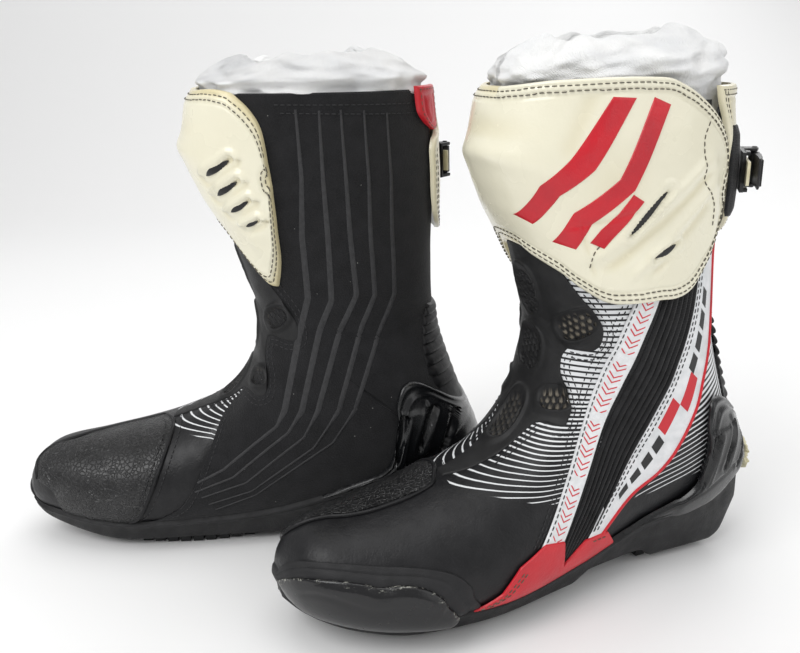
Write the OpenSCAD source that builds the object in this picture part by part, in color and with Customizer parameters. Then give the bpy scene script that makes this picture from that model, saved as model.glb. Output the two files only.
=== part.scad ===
// Pair of motorcycle riding boots: a last-shaped outer boot with an inner bootie, hard plates,
// a flexing ankle, a swinging shin flap, a ratchet buckle and a zip.
// Local boot frame: +X is the lateral (outer) side, the toe points to -Y, +Z is up, the ankle is at X = Y = 0.

/* [Boot] */
// Length of the foot from heel to toe
boot_len = 305; // [290:1:320]
// Height of the outer shaft's rim above the ground
shaft_h = 295; // [285:1:305]
// Width of the foot across the ball
ball_w = 103; // [97:1:108]

/* [Walls] */
// Thickness of the outer boot's upper
wall_t = 2.6; // [2:0.1:3]
// Thickness of the inner bootie
bootie_t = 1.2; // [0.8:0.1:1.4]
// Distance from the upper to the inside of the shin plates
plate_gap = 4.6; // [4.4:0.1:5]
// Thickness of the moulded plates
plate_t = 2.6; // [2:0.1:3]
// Thickness of the sewn-on trims
trim_t = 1.2; // [0.8:0.1:1.2]

/* [Closure] */
// Width of the buckle's lever and base
buckle_w = 22; // [18:1:26]
// Length of the buckle's lever
lever_len = 30; // [24:1:34]
// Radius of the buckle's pivot pin
pin_r = 1.5; // [1:0.1:2]

/* [Pair] */
// Position of the right boot's ankle along X
right_x = -112; // [-140:1:-110]
// Position of the right boot's ankle along Y
right_y = -132; // [-160:1:-100]
// Turn of the right boot about Z, seen from above
right_turn = -21; // [-30:1:0]

/* [Hidden] */
// Middle of the pair's outline on the ground, from the left boot's ankle
pair_mid = [-80.5, -121.4];
$fn = 32;

// Sections of the boot, from the tip of the toe up to the top of the collar. Each section is a closed
// curve in a plane that stands across the boot's side view. Its columns are: the forward distance and
// height of its sole or back point, those of its top or front point, the share of the way from back to
// front where it is widest, its lateral and medial half-widths, the shift of its middle towards the
// lateral side, and the roundness exponents of its back and front halves.
SECTIONS = [
    [214,  29, 216,  34, 0.50,  3,  3, -8, 2.2, 2.2],
    [205,  22, 211,  51, 0.44, 18, 16, -5, 2.6, 2.3],
    [189,  19, 197,  63, 0.38, 32, 28, -2, 3.0, 2.3],
    [167,  17, 164,  68, 0.34, 45, 39, -1, 3.2, 2.2],
    [140,  16, 121,  77, 0.32, 53, 46,  0, 3.4, 2.1],
    [101,  15,  80,  94, 0.30, 56, 47,  1, 3.4, 2.0],
    [ 50,  16,  59, 121, 0.30, 50, 46,  0, 3.2, 2.1],
    [ -3,  23,  54, 145, 0.34, 47, 46, -1, 3.0, 2.2],
    [-61,  26,  54, 163, 0.42, 51, 48,  0, 2.6, 2.2],
    [-89,  50,  58, 177, 0.48, 51, 47,  1, 2.3, 2.3],
    [-75,  94,  62, 191, 0.50, 48, 45,  2, 2.2, 2.3],
    [-61, 140,  67, 209, 0.52, 47, 44,  2, 2.2, 2.3],
    [-59, 187,  77, 231, 0.52, 46, 45,  0, 2.2, 2.3],
    [-61, 239,  85, 259, 0.52, 48, 45,  0, 2.2, 2.3],
    [-57, 295,  78, 295, 0.52, 46, 46,  0, 2.2, 2.3],
    [-60, 340,  82, 334, 0.52, 48, 48,  0, 2.2, 2.3]
];
STATION_LEN = 305;      // length, height and width that the sections are written for
STATION_H = 295;
STATION_W = 103;
kf = boot_len / STATION_LEN;
kz = shaft_h / STATION_H;
kx = ball_w / STATION_W;

bootie_off = -wall_t - 3.2;         // outside of the bootie
plate_off = plate_gap + plate_t;    // outside of the shin plates
trim_off = 0.5;                     // inside of the sewn-on trims
sole_edge = 118;                    // where the rubber rand starts, in degrees around the section
sole_bottom = 5;                    // top of the tread blocks, where the outsole's own bottom lies

// Height of the outsole's bottom against the forward distance: heel block, arch, forefoot, toe spring
SOLE_LINE = [[-100, 10], [-86, 5], [-30, 5], [-22, 11], [34, 11], [50, 5], [150, 5],
             [178, 9], [204, 17], [216, 24]];
// Side-view line, as forward distance and height, under which the parts belong to the foot
FOOT_TOP = [[-130, 88], [-70, 89], [0, 104], [60, 136], [110, 156]];
// Side-view line above which the parts belong to the shaft
SHAFT_BOTTOM = [[-130, 111], [-40, 114], [0, 128], [30, 148], [60, 168], [120, 206]];

function lerp(a, b, t) = a + (b - a) * t;
function smooth(t) = let (c = min(max(t, 0), 1)) c * c * (3 - 2 * c);
function station(i) = SECTIONS[min(max(i, 0), len(SECTIONS) - 1)];

// Smooth row of section values at the position s, a Catmull-Rom curve through the stations
function section(s) =
    let (i = min(floor(s), len(SECTIONS) - 2), t = s - i,
         a = station(i - 1), b = station(i), c = station(i + 1), d = station(i + 2))
    0.5 * (2 * b + (c - a) * t + (2 * a - 5 * b + 4 * c - d) * t * t
           + (3 * b - a - 3 * c + d) * t * t * t);

// Point on the boot's surface: s runs from the toe to the collar, u goes round the section in degrees
// from the front over the lateral side, and off is the distance out from the upper's outer face
function skin(s, u, off) =
    let (r = section(s), df = r[2] - r[0], dz = r[3] - r[1], depth = norm([df, dz]),
         e = 2 / (cos(u) >= 0 ? r[9] : r[8]),
         half = cos(u) >= 0 ? (1 - r[4]) * depth + off : r[4] * depth + off,
         along = sign(cos(u)) * pow(abs(cos(u)), e) * half + r[4] * depth,
         width = (sin(u) >= 0 ? r[5] : r[6]) + off,
         across = sign(sin(u)) * pow(abs(sin(u)), e) * width)
    [kx * (r[7] + across), -kf * (r[0] + df / depth * along), kz * (r[1] + dz / depth * along)];

// Adds k - 1 straight steps between each two rows
function dense(rows, k) = [
    for (i = [0:len(rows) - 2]) for (t = [0:k - 1]) lerp(rows[i], rows[i + 1], t / k),
    rows[len(rows) - 1]
];

function patch(rows, nu, off) =
    [for (r = rows) [for (j = [0:nu]) skin(r[0], lerp(r[1], r[2], j / nu), off)]];

// Closed solid between an outer and an inner grid of points; with loop, each row closes on itself
module solid_between(outer, inner, loop = false) {
    nr = len(outer);
    nc = len(outer[0]);
    last = loop ? nc - 1 : nc - 2;
    function id(k, i, j) = (k * nr + i) * nc + j % nc;
    quads = concat(
        [for (i = [0:nr - 2]) for (j = [0:last])
            [id(0, i, j), id(0, i + 1, j), id(0, i + 1, j + 1), id(0, i, j + 1)]],
        [for (i = [0:nr - 2]) for (j = [0:last])
            [id(1, i, j), id(1, i, j + 1), id(1, i + 1, j + 1), id(1, i + 1, j)]],
        [for (j = [0:last]) [id(0, 0, j), id(0, 0, j + 1), id(1, 0, j + 1), id(1, 0, j)]],
        [for (j = [0:last])
            [id(0, nr - 1, j + 1), id(0, nr - 1, j), id(1, nr - 1, j), id(1, nr - 1, j + 1)]],
        loop ? [] : [for (i = [0:nr - 2])
            [id(0, i + 1, 0), id(0, i, 0), id(1, i, 0), id(1, i + 1, 0)]],
        loop ? [] : [for (i = [0:nr - 2])
            [id(0, i, nc - 1), id(0, i + 1, nc - 1), id(1, i + 1, nc - 1), id(1, i, nc - 1)]]);
    polyhedron(
        points = concat([for (r = outer) each r], [for (r = inner) each r]),
        faces = [for (q = quads) for (t = [[q[0], q[1], q[2]], [q[0], q[2], q[3]]]) t],
        convexity = 8);
}

// Curved panel on the surface: rows are [s, first u, last u], nu is the number of strips across
module panel(rows, nu, off_in, off_out, k = 1) {
    fine = dense(rows, k);
    solid_between(patch(fine, nu, off_out), patch(fine, nu, off_in));
}

// Prism through the whole boot over an outline in the side view, as forward distance and height
module side_prism(outline) {
    rotate([90, 0, 90]) linear_extrude(height = 300, center = true)
        polygon([for (p = outline) [-kf * p[0], kz * p[1]]]);
}

function raised(line, dz) = [for (p = line) [p[0], p[1] + dz]];
function reversed(line) = [for (i = [len(line) - 1:-1:0]) line[i]];

// Keeps the children between two side-view lines
module between_lines(low, high) {
    resize([0, 0, 0]) intersection() {
        children();
        side_prism(concat(low, reversed(high)));
    }
}

GROUND_LINE = [[-130, -20], [260, -20]];
SKY_LINE = [[-130, 380], [260, 380]];
FOOT_ROOF = concat(FOOT_TOP, [[260, 156]]);
SHAFT_FLOOR = concat(SHAFT_BOTTOM, [[260, 230]]);

// ---------------------------------------------------------------- foot

// Stations and angles of the sole's grid, shared by the outsole and the board on top of it
SOLE_STATIONS = [0.12, 0.4, 0.8, 1.3, 2, 2.7, 3.4, 4.2, 5, 5.4, 5.8, 6.2, 6.7, 7.1, 7.3, 7.5, 7.9,
                 8.3, 8.6, 8.72];
SOLE_ANGLES = [sole_edge, 125, 132, 139, 146, 163, 180, 197, 214, 221, 228, 235, 360 - sole_edge];

function sole_weight(u) = smooth((u - 132) / 14) * smooth((228 - u) / 14);

function outsole_point(s, u) =
    let (p = skin(s, u, 3.2))
    [p[0], p[1], lerp(p[2], lookup(-p[1] / kf, SOLE_LINE), sole_weight(u))];

// Rubber tray with the rand, the arch, the heel block and the toe spring
module outsole() {
    color("#262627") solid_between(
        [for (s = SOLE_STATIONS) [for (u = SOLE_ANGLES) outsole_point(s, u)]],
        [for (s = SOLE_STATIONS) [for (u = SOLE_ANGLES) skin(s, u, 0.5)]]);
}

// Flat tread blocks under the ball and the heel
module tread() {
    color("#1f1f20") linear_extrude(height = sole_bottom - 0.1) {
        polygon([for (p = [[56, -26], [66, -33], [104, -36], [136, -32], [148, -24],
                           [148, 26], [136, 36], [104, 40], [66, 36], [56, 28]]) [p[1], -kf * p[0]]]);
        polygon([for (p = [[-80, -17], [-70, -26], [-34, -30], [-34, 31], [-70, 28], [-80, 19]])
            [p[1], -kf * p[0]]]);
    }
}

// Stiff board that closes the bottom of the upper
module insole_board() {
    stations = [for (s = SOLE_STATIONS) if (s > 0.5 && s < 8.7) s];
    angles = [for (u = SOLE_ANGLES) if (u > 131 && u < 229) u];
    color("#3a3633") solid_between(
        [for (s = stations) [for (u = angles) skin(s, u, 0)]],
        [for (s = stations) [for (u = angles) skin(s, u, -wall_t)]]);
}

// Leather over the toes, with a tongue up the instep
module vamp() {
    color("#1b1b1c") panel([[0.12, -128, 128], [1, -128, 128], [2.2, -128, 128], [3.6, -128, 128],
        [5.2, -128, 128], [5.3, -56, 56], [6.9, -50, 50]], 16, -wall_t, 0, 2);
}

QUARTER_ROWS = [[5.38, 62, 128], [6.6, 60, 128], [7.8, 58, 128], [8.7, 56, 128],
                [8.86, 56, 178], [9.5, 56, 178], [10.4, 56, 178]];

module quarter_lateral() {
    color("#1c1c1d") between_lines(GROUND_LINE, FOOT_ROOF) panel(QUARTER_ROWS, 9, -wall_t, 0, 2);
}

module quarter_medial() {
    color("#191919") between_lines(GROUND_LINE, FOOT_ROOF)
        panel([for (r = QUARTER_ROWS) [r[0], -r[2], -r[1]]], 9, -wall_t, 0, 2);
}

// Textured pad over the big toe, where the gear lever rubs
module shift_pad() {
    color("#3a3937") panel([[2.2, -50, -14], [2.7, -60, -2], [3.3, -66, -6], [3.9, -71, -18],
        [4.25, -73, -28]], 6, trim_off, trim_off + trim_t, 2);
}

// Replaceable hard slider on the outer side of the toe
module toe_slider() {
    color("#232325") panel([[0.16, 72, 146], [0.6, 76, 138], [1.2, 79, 134], [2, 82, 132],
        [3, 87, 130], [3.6, 96, 128], [4.1, 112, 124]], 6, 5.2, 7.9, 1);
}

module slider_screw() {
    seat = skin(2.1, 104, 8.6);
    color("#8c8c8c") translate(seat) rotate([0, 90, -38]) difference() {
        cylinder(r = 3.5, h = 1.6);
        translate([0, 0, 0.8]) cylinder(r = 1.6, h = 2, $fn = 6);
    }
}

// Hard cup around the heel: two wings joined behind the heel
module heel_counter() {
    wing = [[7.3, 111, 120], [7.8, 108, 126], [8.3, 105, 128], [8.84, 103, 128]];
    color("#202022") resize([0, 0, 0]) union() {
        panel(wing, 3, 4.1, 6.8, 1);
        panel([for (r = wing) [r[0], 360 - r[2], 360 - r[1]]], 3, 4.1, 6.8, 1);
        panel([[8.82, 103, 257], [9.2, 106, 254], [9.6, 114, 244], [9.85, 134, 222]], 16, 4.1, 6.8, 1);
    }
}

// Light scuff insert let into the back of the heel cup
module heel_insert() {
    color("#e9e2c6") panel([[8.9, 136, 158], [9.25, 138, 156]], 3, 7.4, 8.6, 2);
}

// Coloured side patch at the foot of the zip
module side_patch() {
    color("#c1272d") panel([[4.75, 109, 116.5], [5, 100, 116.5], [5.4, 88, 116.5], [5.8, 88, 116.5],
        [6.1, 97, 116.5], [6.3, 108, 116.5]], 4, trim_off, trim_off + trim_t, 1);
}

// ---------------------------------------------------------------- ankle

module flex_band(rows, nu) {
    between_lines(raised(FOOT_ROOF, 0.8), raised(SHAFT_FLOOR, -0.8)) panel(rows, nu, -wall_t, 0, 1);
}

// Moulded bellows over the instep
module front_flex() {
    color("#222223") between_lines(GROUND_LINE, raised(SHAFT_FLOOR, -0.8))
        panel([[7.02, -48, 48], [7.6, -48, 48], [8.2, -48, 48], [8.8, -48, 48]], 8, -wall_t, 0, 1);
}

module side_flex() {
    color("#1d1d1e") {
        flex_band([for (s = [7:0.5:11]) [s, 54, 138]], 6);
        flex_band([for (s = [7:0.5:11]) [s, -138, -54]], 6);
    }
}

// Ribbed bellows over the heel tendon
module rear_flex() {
    color("#1d1d1e") flex_band([for (s = [9.4:0.4:11]) [s, 142, 218]], 8);
}

// ---------------------------------------------------------------- shaft

module shaft_wall(u0, u1) {
    between_lines(SHAFT_FLOOR, SKY_LINE)
        panel([for (s = [8.2, 8.8, 9.4, 10, 10.6, 11.2, 12, 12.8, 13.4, 13.86]) [s, u0, u1]],
            11, -wall_t, 0, 1);
}

module lateral_panel() {
    color("#1c1c1d") shaft_wall(2, 178);
}

module medial_panel() {
    color("#191919") shaft_wall(-178, -2);
}

// Fixed half of the shin armour, on the medial side of the ridge
module shin_plate() {
    color("#e9e2c6") panel([[10.15, -57, -45], [10.5, -61, -36], [10.9, -66, -25], [11.3, -70, -4],
        [12, -74, -4], [12.6, -76, -4], [13.2, -75, -4], [13.55, -70, -4], [13.78, -56, -4]],
        7, plate_gap, plate_off, 2);
}

// Swinging half of the shin armour, over the zip
module shin_flap() {
    color("#e9e2c6") panel([[10.32, 42, 56], [10.5, 28, 65], [10.7, 12, 74], [10.9, 4, 82],
        [11.5, 4, 103], [12.1, 4, 119], [12.6, 4, 124], [13.1, 4, 125], [13.45, 4, 121],
        [13.72, 4, 110], [13.85, 4, 100]], 9, plate_gap, plate_off, 2);
}

// Calf armour behind the flap
module calf_plate() {
    color("#e6dfc3") panel([[12.3, 158, 186], [12.55, 142, 197], [12.9, 130, 202], [13.2, 129.5, 202],
        [13.42, 129, 182], [13.84, 118, 182]], 7, 3, 6, 2);
}

module calf_cap() {
    color("#c1272d") panel([[13.46, 185, 208], [13.65, 185, 212], [13.9, 185, 212]], 3, 3, 6, 2);
}

// Lengthwise ribbed stretch cloth beside the zip
module stretch_panel() {
    color("#1a1a1b") between_lines(SHAFT_FLOOR, SKY_LINE)
        panel([[9, 66, 82], [10, 82, 98], [11, 96, 116], [11.8, 106, 124]],
            3, trim_off, trim_off + trim_t, 2);
}

ZIP_U = 114;            // where the zip runs at the top of the shaft, in degrees around the section

module zip_chain() {
    color("#141415") panel([for (s = [12.1:0.25:13.6]) [s, ZIP_U - 5, ZIP_U + 5]],
        2, 0.4, 1.2, 1);
}

// Slider with its pull lying flat, in the plane of the zip's upper stretch
module zip_slider() {
    color("#2a2a2c") translate(skin(13.35, ZIP_U, 2)) rotate([0, 0, turn_out(12.9, ZIP_U)]) {
        translate([0, -4, -9]) cube([1.9, 8, 9]);
        translate([0.3, -2.5, -30]) cube([1.2, 5, 22]);
    }
}

// Turn about Z that brings +X onto the outward side of the surface
function turn_out(s, u) =
    let (a = skin(s, u - 2, 0), b = skin(s, u + 2, 0)) atan2(b[1] - a[1], b[0] - a[0]) - 90;

// ---------------------------------------------------------------- buckle

BUCKLE_S = 13.03;
BUCKLE_U = 151;
ear_w = 2;
base_t = 2;
pin_out = 8.4;          // pivot's distance out from the base's underside
pin_back = 10;          // pivot's distance behind the buckle's middle
knuckle_r = 3;
pin_gap = 0.06;

// Places the children on the calf: +X is out, +Y goes round towards the back, Z is up
module at_buckle() {
    translate(skin(BUCKLE_S, BUCKLE_U, 8.4)) rotate([0, 0, turn_out(BUCKLE_S, BUCKLE_U)]) children();
}

// Soft pad under the buckle
module strap_pad() {
    color("#161618") panel([for (s = [12.55:0.15:13.45]) [s, 130.5, 164]], 4, 6.6, 8, 1);
}

module buckle_base() {
    color("#1a1a1c") at_buckle() {
        translate([0, -15, -buckle_w / 2]) cube([base_t, 30, buckle_w]);
        for (z = [-buckle_w / 2, buckle_w / 2 - ear_w])
            difference() {
                translate([base_t - 0.2, pin_back - 4, z]) cube([pin_out + 1.4, 8, ear_w]);
                translate([pin_out, pin_back, z - 1]) cylinder(r = pin_r + pin_gap, h = ear_w + 2);
            }
    }
}

// Lever with its own pivot pin
module buckle_lever() {
    clear = buckle_w / 2 - ear_w - 0.4;
    color("#111113") at_buckle() {
        translate([pin_out, pin_back, -buckle_w / 2 - 0.6]) cylinder(r = pin_r, h = buckle_w + 1.2);
        translate([pin_out, pin_back, -clear]) cylinder(r = knuckle_r, h = 2 * clear);
        translate([pin_out - 0.6, pin_back - lever_len, -clear]) cube([2.4, lever_len, 2 * clear]);
    }
}

// Toothed strap that the lever pushes through the buckle
module ladder_strap() {
    color("#e9e2c6") at_buckle() {
        translate([2.4, -20, -6.5]) cube([1.8, 38, 13]);
        for (y = [-14:3:15]) translate([4.1, y, -5]) cube([0.6, 1.2, 10]);
    }
}

// ---------------------------------------------------------------- inner bootie

COLLAR_ROWS = [[13.35, -8.5, -4.2], [13.9, -8.5, -4.2], [14.1, -6, 0.2], [14.35, -5, 1.4], [14.58, -4, 2]];
RING = [for (j = [0:23]) j * 15];

// Padded knit collar that stands out of the shaft
module bootie_collar() {
    color("#f2f2f2") solid_between(
        [for (r = COLLAR_ROWS) [for (u = RING) skin(r[0], u, r[2])]],
        [for (r = COLLAR_ROWS) [for (u = RING) skin(r[0], u, r[1])]], loop = true);
}

// Thin inner boot that lines the foot and the shaft
module bootie() {
    stations = [0.8, 1.4, 2.2, 3.2, 4.2, 5.2, 6, 6.7, 7.4, 8, 8.5, 9, 9.6, 10.3, 11.2, 12.2, 13.1];
    color("#4a4a4c") solid_between(
        [for (s = stations) [for (u = RING) skin(s, u, bootie_off)]],
        [for (s = stations) [for (u = RING) skin(s, u, bootie_off - bootie_t)]], loop = true);
}

// ---------------------------------------------------------------- placing the pair

module left() {
    translate([-pair_mid[0], -pair_mid[1], 0]) children();
}

module right() {
    translate([right_x - pair_mid[0], right_y - pair_mid[1], 0]) rotate([0, 0, right_turn])
        mirror([1, 0, 0]) children();
}

left() outsole();  // left_outsole
left() tread();  // left_tread
left() insole_board();  // left_insole_board
left() vamp();  // left_vamp
left() quarter_lateral();  // left_quarter_lateral
left() quarter_medial();  // left_quarter_medial
left() shift_pad();  // left_shift_pad
left() toe_slider();  // left_toe_slider
left() slider_screw();  // left_slider_screw
left() heel_counter();  // left_heel_counter
left() heel_insert();  // left_heel_insert
left() side_patch();  // left_side_patch
left() front_flex();  // left_front_flex
left() side_flex();  // left_side_flex
left() rear_flex();  // left_rear_flex
left() lateral_panel();  // left_lateral_panel
left() medial_panel();  // left_medial_panel
left() shin_plate();  // left_shin_plate
left() calf_plate();  // left_calf_plate
left() calf_cap();  // left_calf_cap
left() stretch_panel();  // left_stretch_panel
left() zip_chain();  // left_zip_chain
left() buckle_base();  // left_buckle_base
left() strap_pad();  // left_strap_pad
left() bootie_collar();  // left_bootie_collar
left() bootie();  // left_bootie
left() shin_flap();  // left_shin_flap
left() buckle_lever();  // left_buckle_lever
left() ladder_strap();  // left_ladder_strap
left() zip_slider();  // left_zip_slider
right() outsole();  // right_outsole
right() tread();  // right_tread
right() insole_board();  // right_insole_board
right() vamp();  // right_vamp
right() quarter_lateral();  // right_quarter_lateral
right() quarter_medial();  // right_quarter_medial
right() shift_pad();  // right_shift_pad
right() toe_slider();  // right_toe_slider
right() slider_screw();  // right_slider_screw
right() heel_counter();  // right_heel_counter
right() heel_insert();  // right_heel_insert
right() side_patch();  // right_side_patch
right() front_flex();  // right_front_flex
right() side_flex();  // right_side_flex
right() rear_flex();  // right_rear_flex
right() lateral_panel();  // right_lateral_panel
right() medial_panel();  // right_medial_panel
right() shin_plate();  // right_shin_plate
right() calf_plate();  // right_calf_plate
right() calf_cap();  // right_calf_cap
right() stretch_panel();  // right_stretch_panel
right() zip_chain();  // right_zip_chain
right() buckle_base();  // right_buckle_base
right() strap_pad();  // right_strap_pad
right() bootie_collar();  // right_bootie_collar
right() bootie();  // right_bootie
right() shin_flap();  // right_shin_flap
right() buckle_lever();  // right_buckle_lever
right() ladder_strap();  // right_ladder_strap
right() zip_slider();  // right_zip_slider
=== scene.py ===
"""Riding boots: the outer surfaces, seams and finishes of a pair of motorcycle boots around their fixed
frame."""

import math

import bpy
import numpy as np
from mathutils import Matrix, Vector


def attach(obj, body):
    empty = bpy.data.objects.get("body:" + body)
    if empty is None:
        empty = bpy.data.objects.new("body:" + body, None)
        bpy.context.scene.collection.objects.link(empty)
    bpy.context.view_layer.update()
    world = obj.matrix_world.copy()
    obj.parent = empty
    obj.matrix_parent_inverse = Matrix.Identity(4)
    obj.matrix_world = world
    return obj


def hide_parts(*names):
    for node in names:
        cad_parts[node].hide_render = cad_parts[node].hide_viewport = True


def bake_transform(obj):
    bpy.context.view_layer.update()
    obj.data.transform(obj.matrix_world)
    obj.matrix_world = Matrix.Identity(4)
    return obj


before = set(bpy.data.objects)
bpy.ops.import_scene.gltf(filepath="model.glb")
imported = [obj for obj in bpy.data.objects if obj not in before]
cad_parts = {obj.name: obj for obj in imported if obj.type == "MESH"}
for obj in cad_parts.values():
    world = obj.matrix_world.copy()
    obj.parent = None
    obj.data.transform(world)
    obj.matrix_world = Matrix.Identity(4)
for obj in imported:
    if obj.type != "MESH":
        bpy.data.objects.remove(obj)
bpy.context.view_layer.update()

bl_info = {
    "name": "Riding boots",
    "version": (1, 0, 0),
    "blender": (4, 5, 0),
    "location": "3D View > Sidebar > Boots",
    "description": "Builds the leather, moulded and knitted pieces of a pair of motorcycle riding boots",
    "category": "Add Mesh",
}

# ------------------------------------------------------------------ shape of the boot, in millimetres

# Sections from the toe to the collar: forward distance and height of the sole or back point, the same of
# the top or front point, share of the way where it is widest, lateral and medial half-widths, sideways
# shift, roundness exponents of the back and front halves
SECTIONS = np.array([
    [214, 29, 216, 34, 0.50, 3, 3, -8, 2.2, 2.2], [205, 22, 211, 51, 0.44, 18, 16, -5, 2.6, 2.3],
    [189, 19, 197, 63, 0.38, 32, 28, -2, 3.0, 2.3], [167, 17, 164, 68, 0.34, 45, 39, -1, 3.2, 2.2],
    [140, 16, 121, 77, 0.32, 53, 46, 0, 3.4, 2.1], [101, 15, 80, 94, 0.30, 56, 47, 1, 3.4, 2.0],
    [50, 16, 59, 121, 0.30, 50, 46, 0, 3.2, 2.1], [-3, 23, 54, 145, 0.34, 47, 46, -1, 3.0, 2.2],
    [-61, 26, 54, 163, 0.42, 51, 48, 0, 2.6, 2.2], [-89, 50, 58, 177, 0.48, 51, 47, 1, 2.3, 2.3],
    [-75, 94, 62, 191, 0.50, 48, 45, 2, 2.2, 2.3], [-61, 140, 67, 209, 0.52, 47, 44, 2, 2.2, 2.3],
    [-59, 187, 77, 231, 0.52, 46, 45, 0, 2.2, 2.3], [-61, 239, 85, 259, 0.52, 48, 45, 0, 2.2, 2.3],
    [-57, 295, 78, 295, 0.52, 46, 46, 0, 2.2, 2.3], [-60, 340, 82, 334, 0.52, 48, 48, 0, 2.2, 2.3]], float)
PAIR_MID = (-80.5, -121.4)      # middle of the pair's outline, from the left boot's ankle
RIGHT_AT = (-112.0, -132.0)     # the right boot's ankle, from the left one's
RIGHT_TURN = math.radians(-21)
SIDES = ("left", "right")
ANKLE_Z = 118.0
BUCKLE = (13.03, 151.0, 8.4)    # s, u and offset of the buckle's middle
S_LENGTH = 18                   # rough length of one unit of s, in millimetres

# Where pieces span two bodies: the bodies, and the line along which one takes over from the other. Only the
# keys are read: pieces on them are left unparented.
BENDS = {"ankle": ("foot", "shaft", [[0, -4.5, ANKLE_Z - 12.5], [0, 4.5, ANKLE_Z + 12.5]]),
         "ridge": ("shaft", "shin_flap", [[-5, -93, 235], [9, -93, 235]])}


def skin(s, u, off):
    """Point on the boot, in its own frame: a Catmull-Rom curve through the sections at s, then a superellipse
    at u degrees round the section, pushed out by off. X is lateral, -Y points to the toe, Z is up."""
    s, u, off = np.broadcast_arrays(np.asarray(s, float), np.asarray(u, float), np.asarray(off, float))
    i = np.clip(np.floor(s).astype(int), 0, len(SECTIONS) - 2)
    t = (s - i)[..., None]
    a, b, c, d = (SECTIONS[np.clip(i + k, 0, len(SECTIONS) - 1)] for k in (-1, 0, 1, 2))
    r = 0.5 * (2 * b + (c - a) * t + (2 * a - 5 * b + 4 * c - d) * t**2 + (3 * b - a - 3 * c + d) * t**3)
    bf, bz, ff, fz, mid, lat, med, x0, nb, nf = np.moveaxis(r, -1, 0)
    df, dz = ff - bf, fz - bz
    depth = np.hypot(df, dz)
    cu, su = np.cos(np.radians(u)), np.sin(np.radians(u))
    e = 2 / np.where(cu >= 0, nf, nb)
    half = np.where(cu >= 0, 1 - mid, mid) * depth + off
    along = np.sign(cu) * np.abs(cu) ** e * half + mid * depth
    across = np.sign(su) * np.abs(su) ** e * (np.where(su >= 0, lat, med) + off)
    return np.stack([x0 + across, -(bf + df / depth * along), bz + dz / depth * along], -1)


def unit(v):
    """Vectors made one long."""
    return v / (np.linalg.norm(v, axis=-1, keepdims=True) + 1e-12)


def run_length(p):
    """Length along a line of points up to each of them, in millimetres."""
    return np.concatenate([[0], np.cumsum(np.linalg.norm(np.diff(p, axis=0), axis=1))])


def outward(s, u, off=0.0):
    """Unit vectors that point out of the surface: the cross product of its two small steps."""
    ds = skin(s + 0.02, u, off) - skin(s - 0.02, u, off)
    du = skin(s, u + 0.5, off) - skin(s, u - 0.5, off)
    n = np.cross(ds, du)
    out = skin(s, u, off + 1.0) - skin(s, u, off)
    return unit(n * np.sign((n * out).sum(-1, keepdims=True) + 1e-12))


_F, _G = np.meshgrid(np.linspace(0.3, 14.9, 96), np.linspace(2, 178, 45), indexing="ij")
_FOUND = {}
_TABLE = {h: skin(_F, h * _G, 0.0).reshape(-1, 3)[:, 1:] for h in (1, -1)}


def on_side(f, z, hand=1):
    """(s, u) of the points of one side with forward distance f and height z: the nearest of a table of
    surface points, then Newton's steps. hand is 1 for the lateral side and -1 for the medial one. Answers are
    kept, since the second boot asks for the same points as the first."""
    f, z = np.broadcast_arrays(np.asarray(f, float), np.asarray(z, float))
    shape, key = f.shape, (f.tobytes(), z.tobytes(), hand)
    if key in _FOUND:
        return _FOUND[key]
    goal = np.stack([-f.ravel(), z.ravel()], -1)
    near = np.concatenate([((g[:, None] - _TABLE[hand]) ** 2).sum(-1).argmin(1)
                           for g in np.array_split(goal, max(1, len(goal) // 400))])
    s, u = _F.ravel()[near].copy(), hand * _G.ravel()[near]
    for _ in range(8):
        p = skin(s, u, 0.0)[:, 1:]
        js = (skin(s + 0.01, u, 0.0)[:, 1:] - p) / 0.01
        ju = (skin(s, u + 0.2, 0.0)[:, 1:] - p) / 0.2
        det = js[:, 0] * ju[:, 1] - js[:, 1] * ju[:, 0]
        det = np.where(np.abs(det) < 0.05, np.sign(det + 1e-9) * 0.05, det)
        r = goal - p
        s = np.clip(s + np.clip((r[:, 0] * ju[:, 1] - r[:, 1] * ju[:, 0]) / det, -0.3, 0.3), 0.1, 14.95)
        u = u + np.clip((js[:, 0] * r[:, 1] - js[:, 1] * r[:, 0]) / det, -6, 6)
        u = hand * np.clip(hand * u, 1, 179)
    _FOUND[key] = (s.reshape(shape), u.reshape(shape))
    return _FOUND[key]


def curve(knots, x):
    """Smooth curve through (x, y) knots that never overshoots them: cubic pieces whose slopes at the knots
    are the harmonic means of the chords beside them, or level at a peak. It is held level outside the
    range."""
    k = np.array(knots, float)
    kx, ky = k[:, 0], k[:, 1]
    x = np.clip(np.asarray(x, float), kx[0], kx[-1])
    step, rise = np.diff(kx), np.diff(ky) / np.diff(kx)
    m = np.concatenate([rise[:1], np.zeros(len(k) - 2), rise[-1:]])
    if len(k) > 2:
        same = rise[:-1] * rise[1:] > 0
        a, b = 2 * step[1:] + step[:-1], step[1:] + 2 * step[:-1]
        safe = np.where(same[:, None], np.stack([rise[:-1], rise[1:]], 1), 1.0)
        m[1:-1] = np.where(same, (a + b) / (a / safe[:, 0] + b / safe[:, 1]), 0)
    i = np.clip(np.searchsorted(kx, x, side="right") - 1, 0, len(k) - 2)
    h = kx[i + 1] - kx[i]
    t = (x - kx[i]) / h
    return ((2 * t**3 - 3 * t**2 + 1) * ky[i] + (t**3 - 2 * t**2 + t) * h * m[i]
            + (3 * t**2 - 2 * t**3) * ky[i + 1] + (t**3 - t**2) * h * m[i + 1])


def eased(n, pull=0.1):
    """n values from 0 to 1, packed closer near both ends by a sine term, so that rolled edges are fine."""
    t = np.linspace(0, 1, n)
    return t - pull * np.sin(2 * np.pi * t)


def bell(x):
    """Bell curve: e to the power of minus x squared."""
    return np.exp(-x * x)


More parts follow.
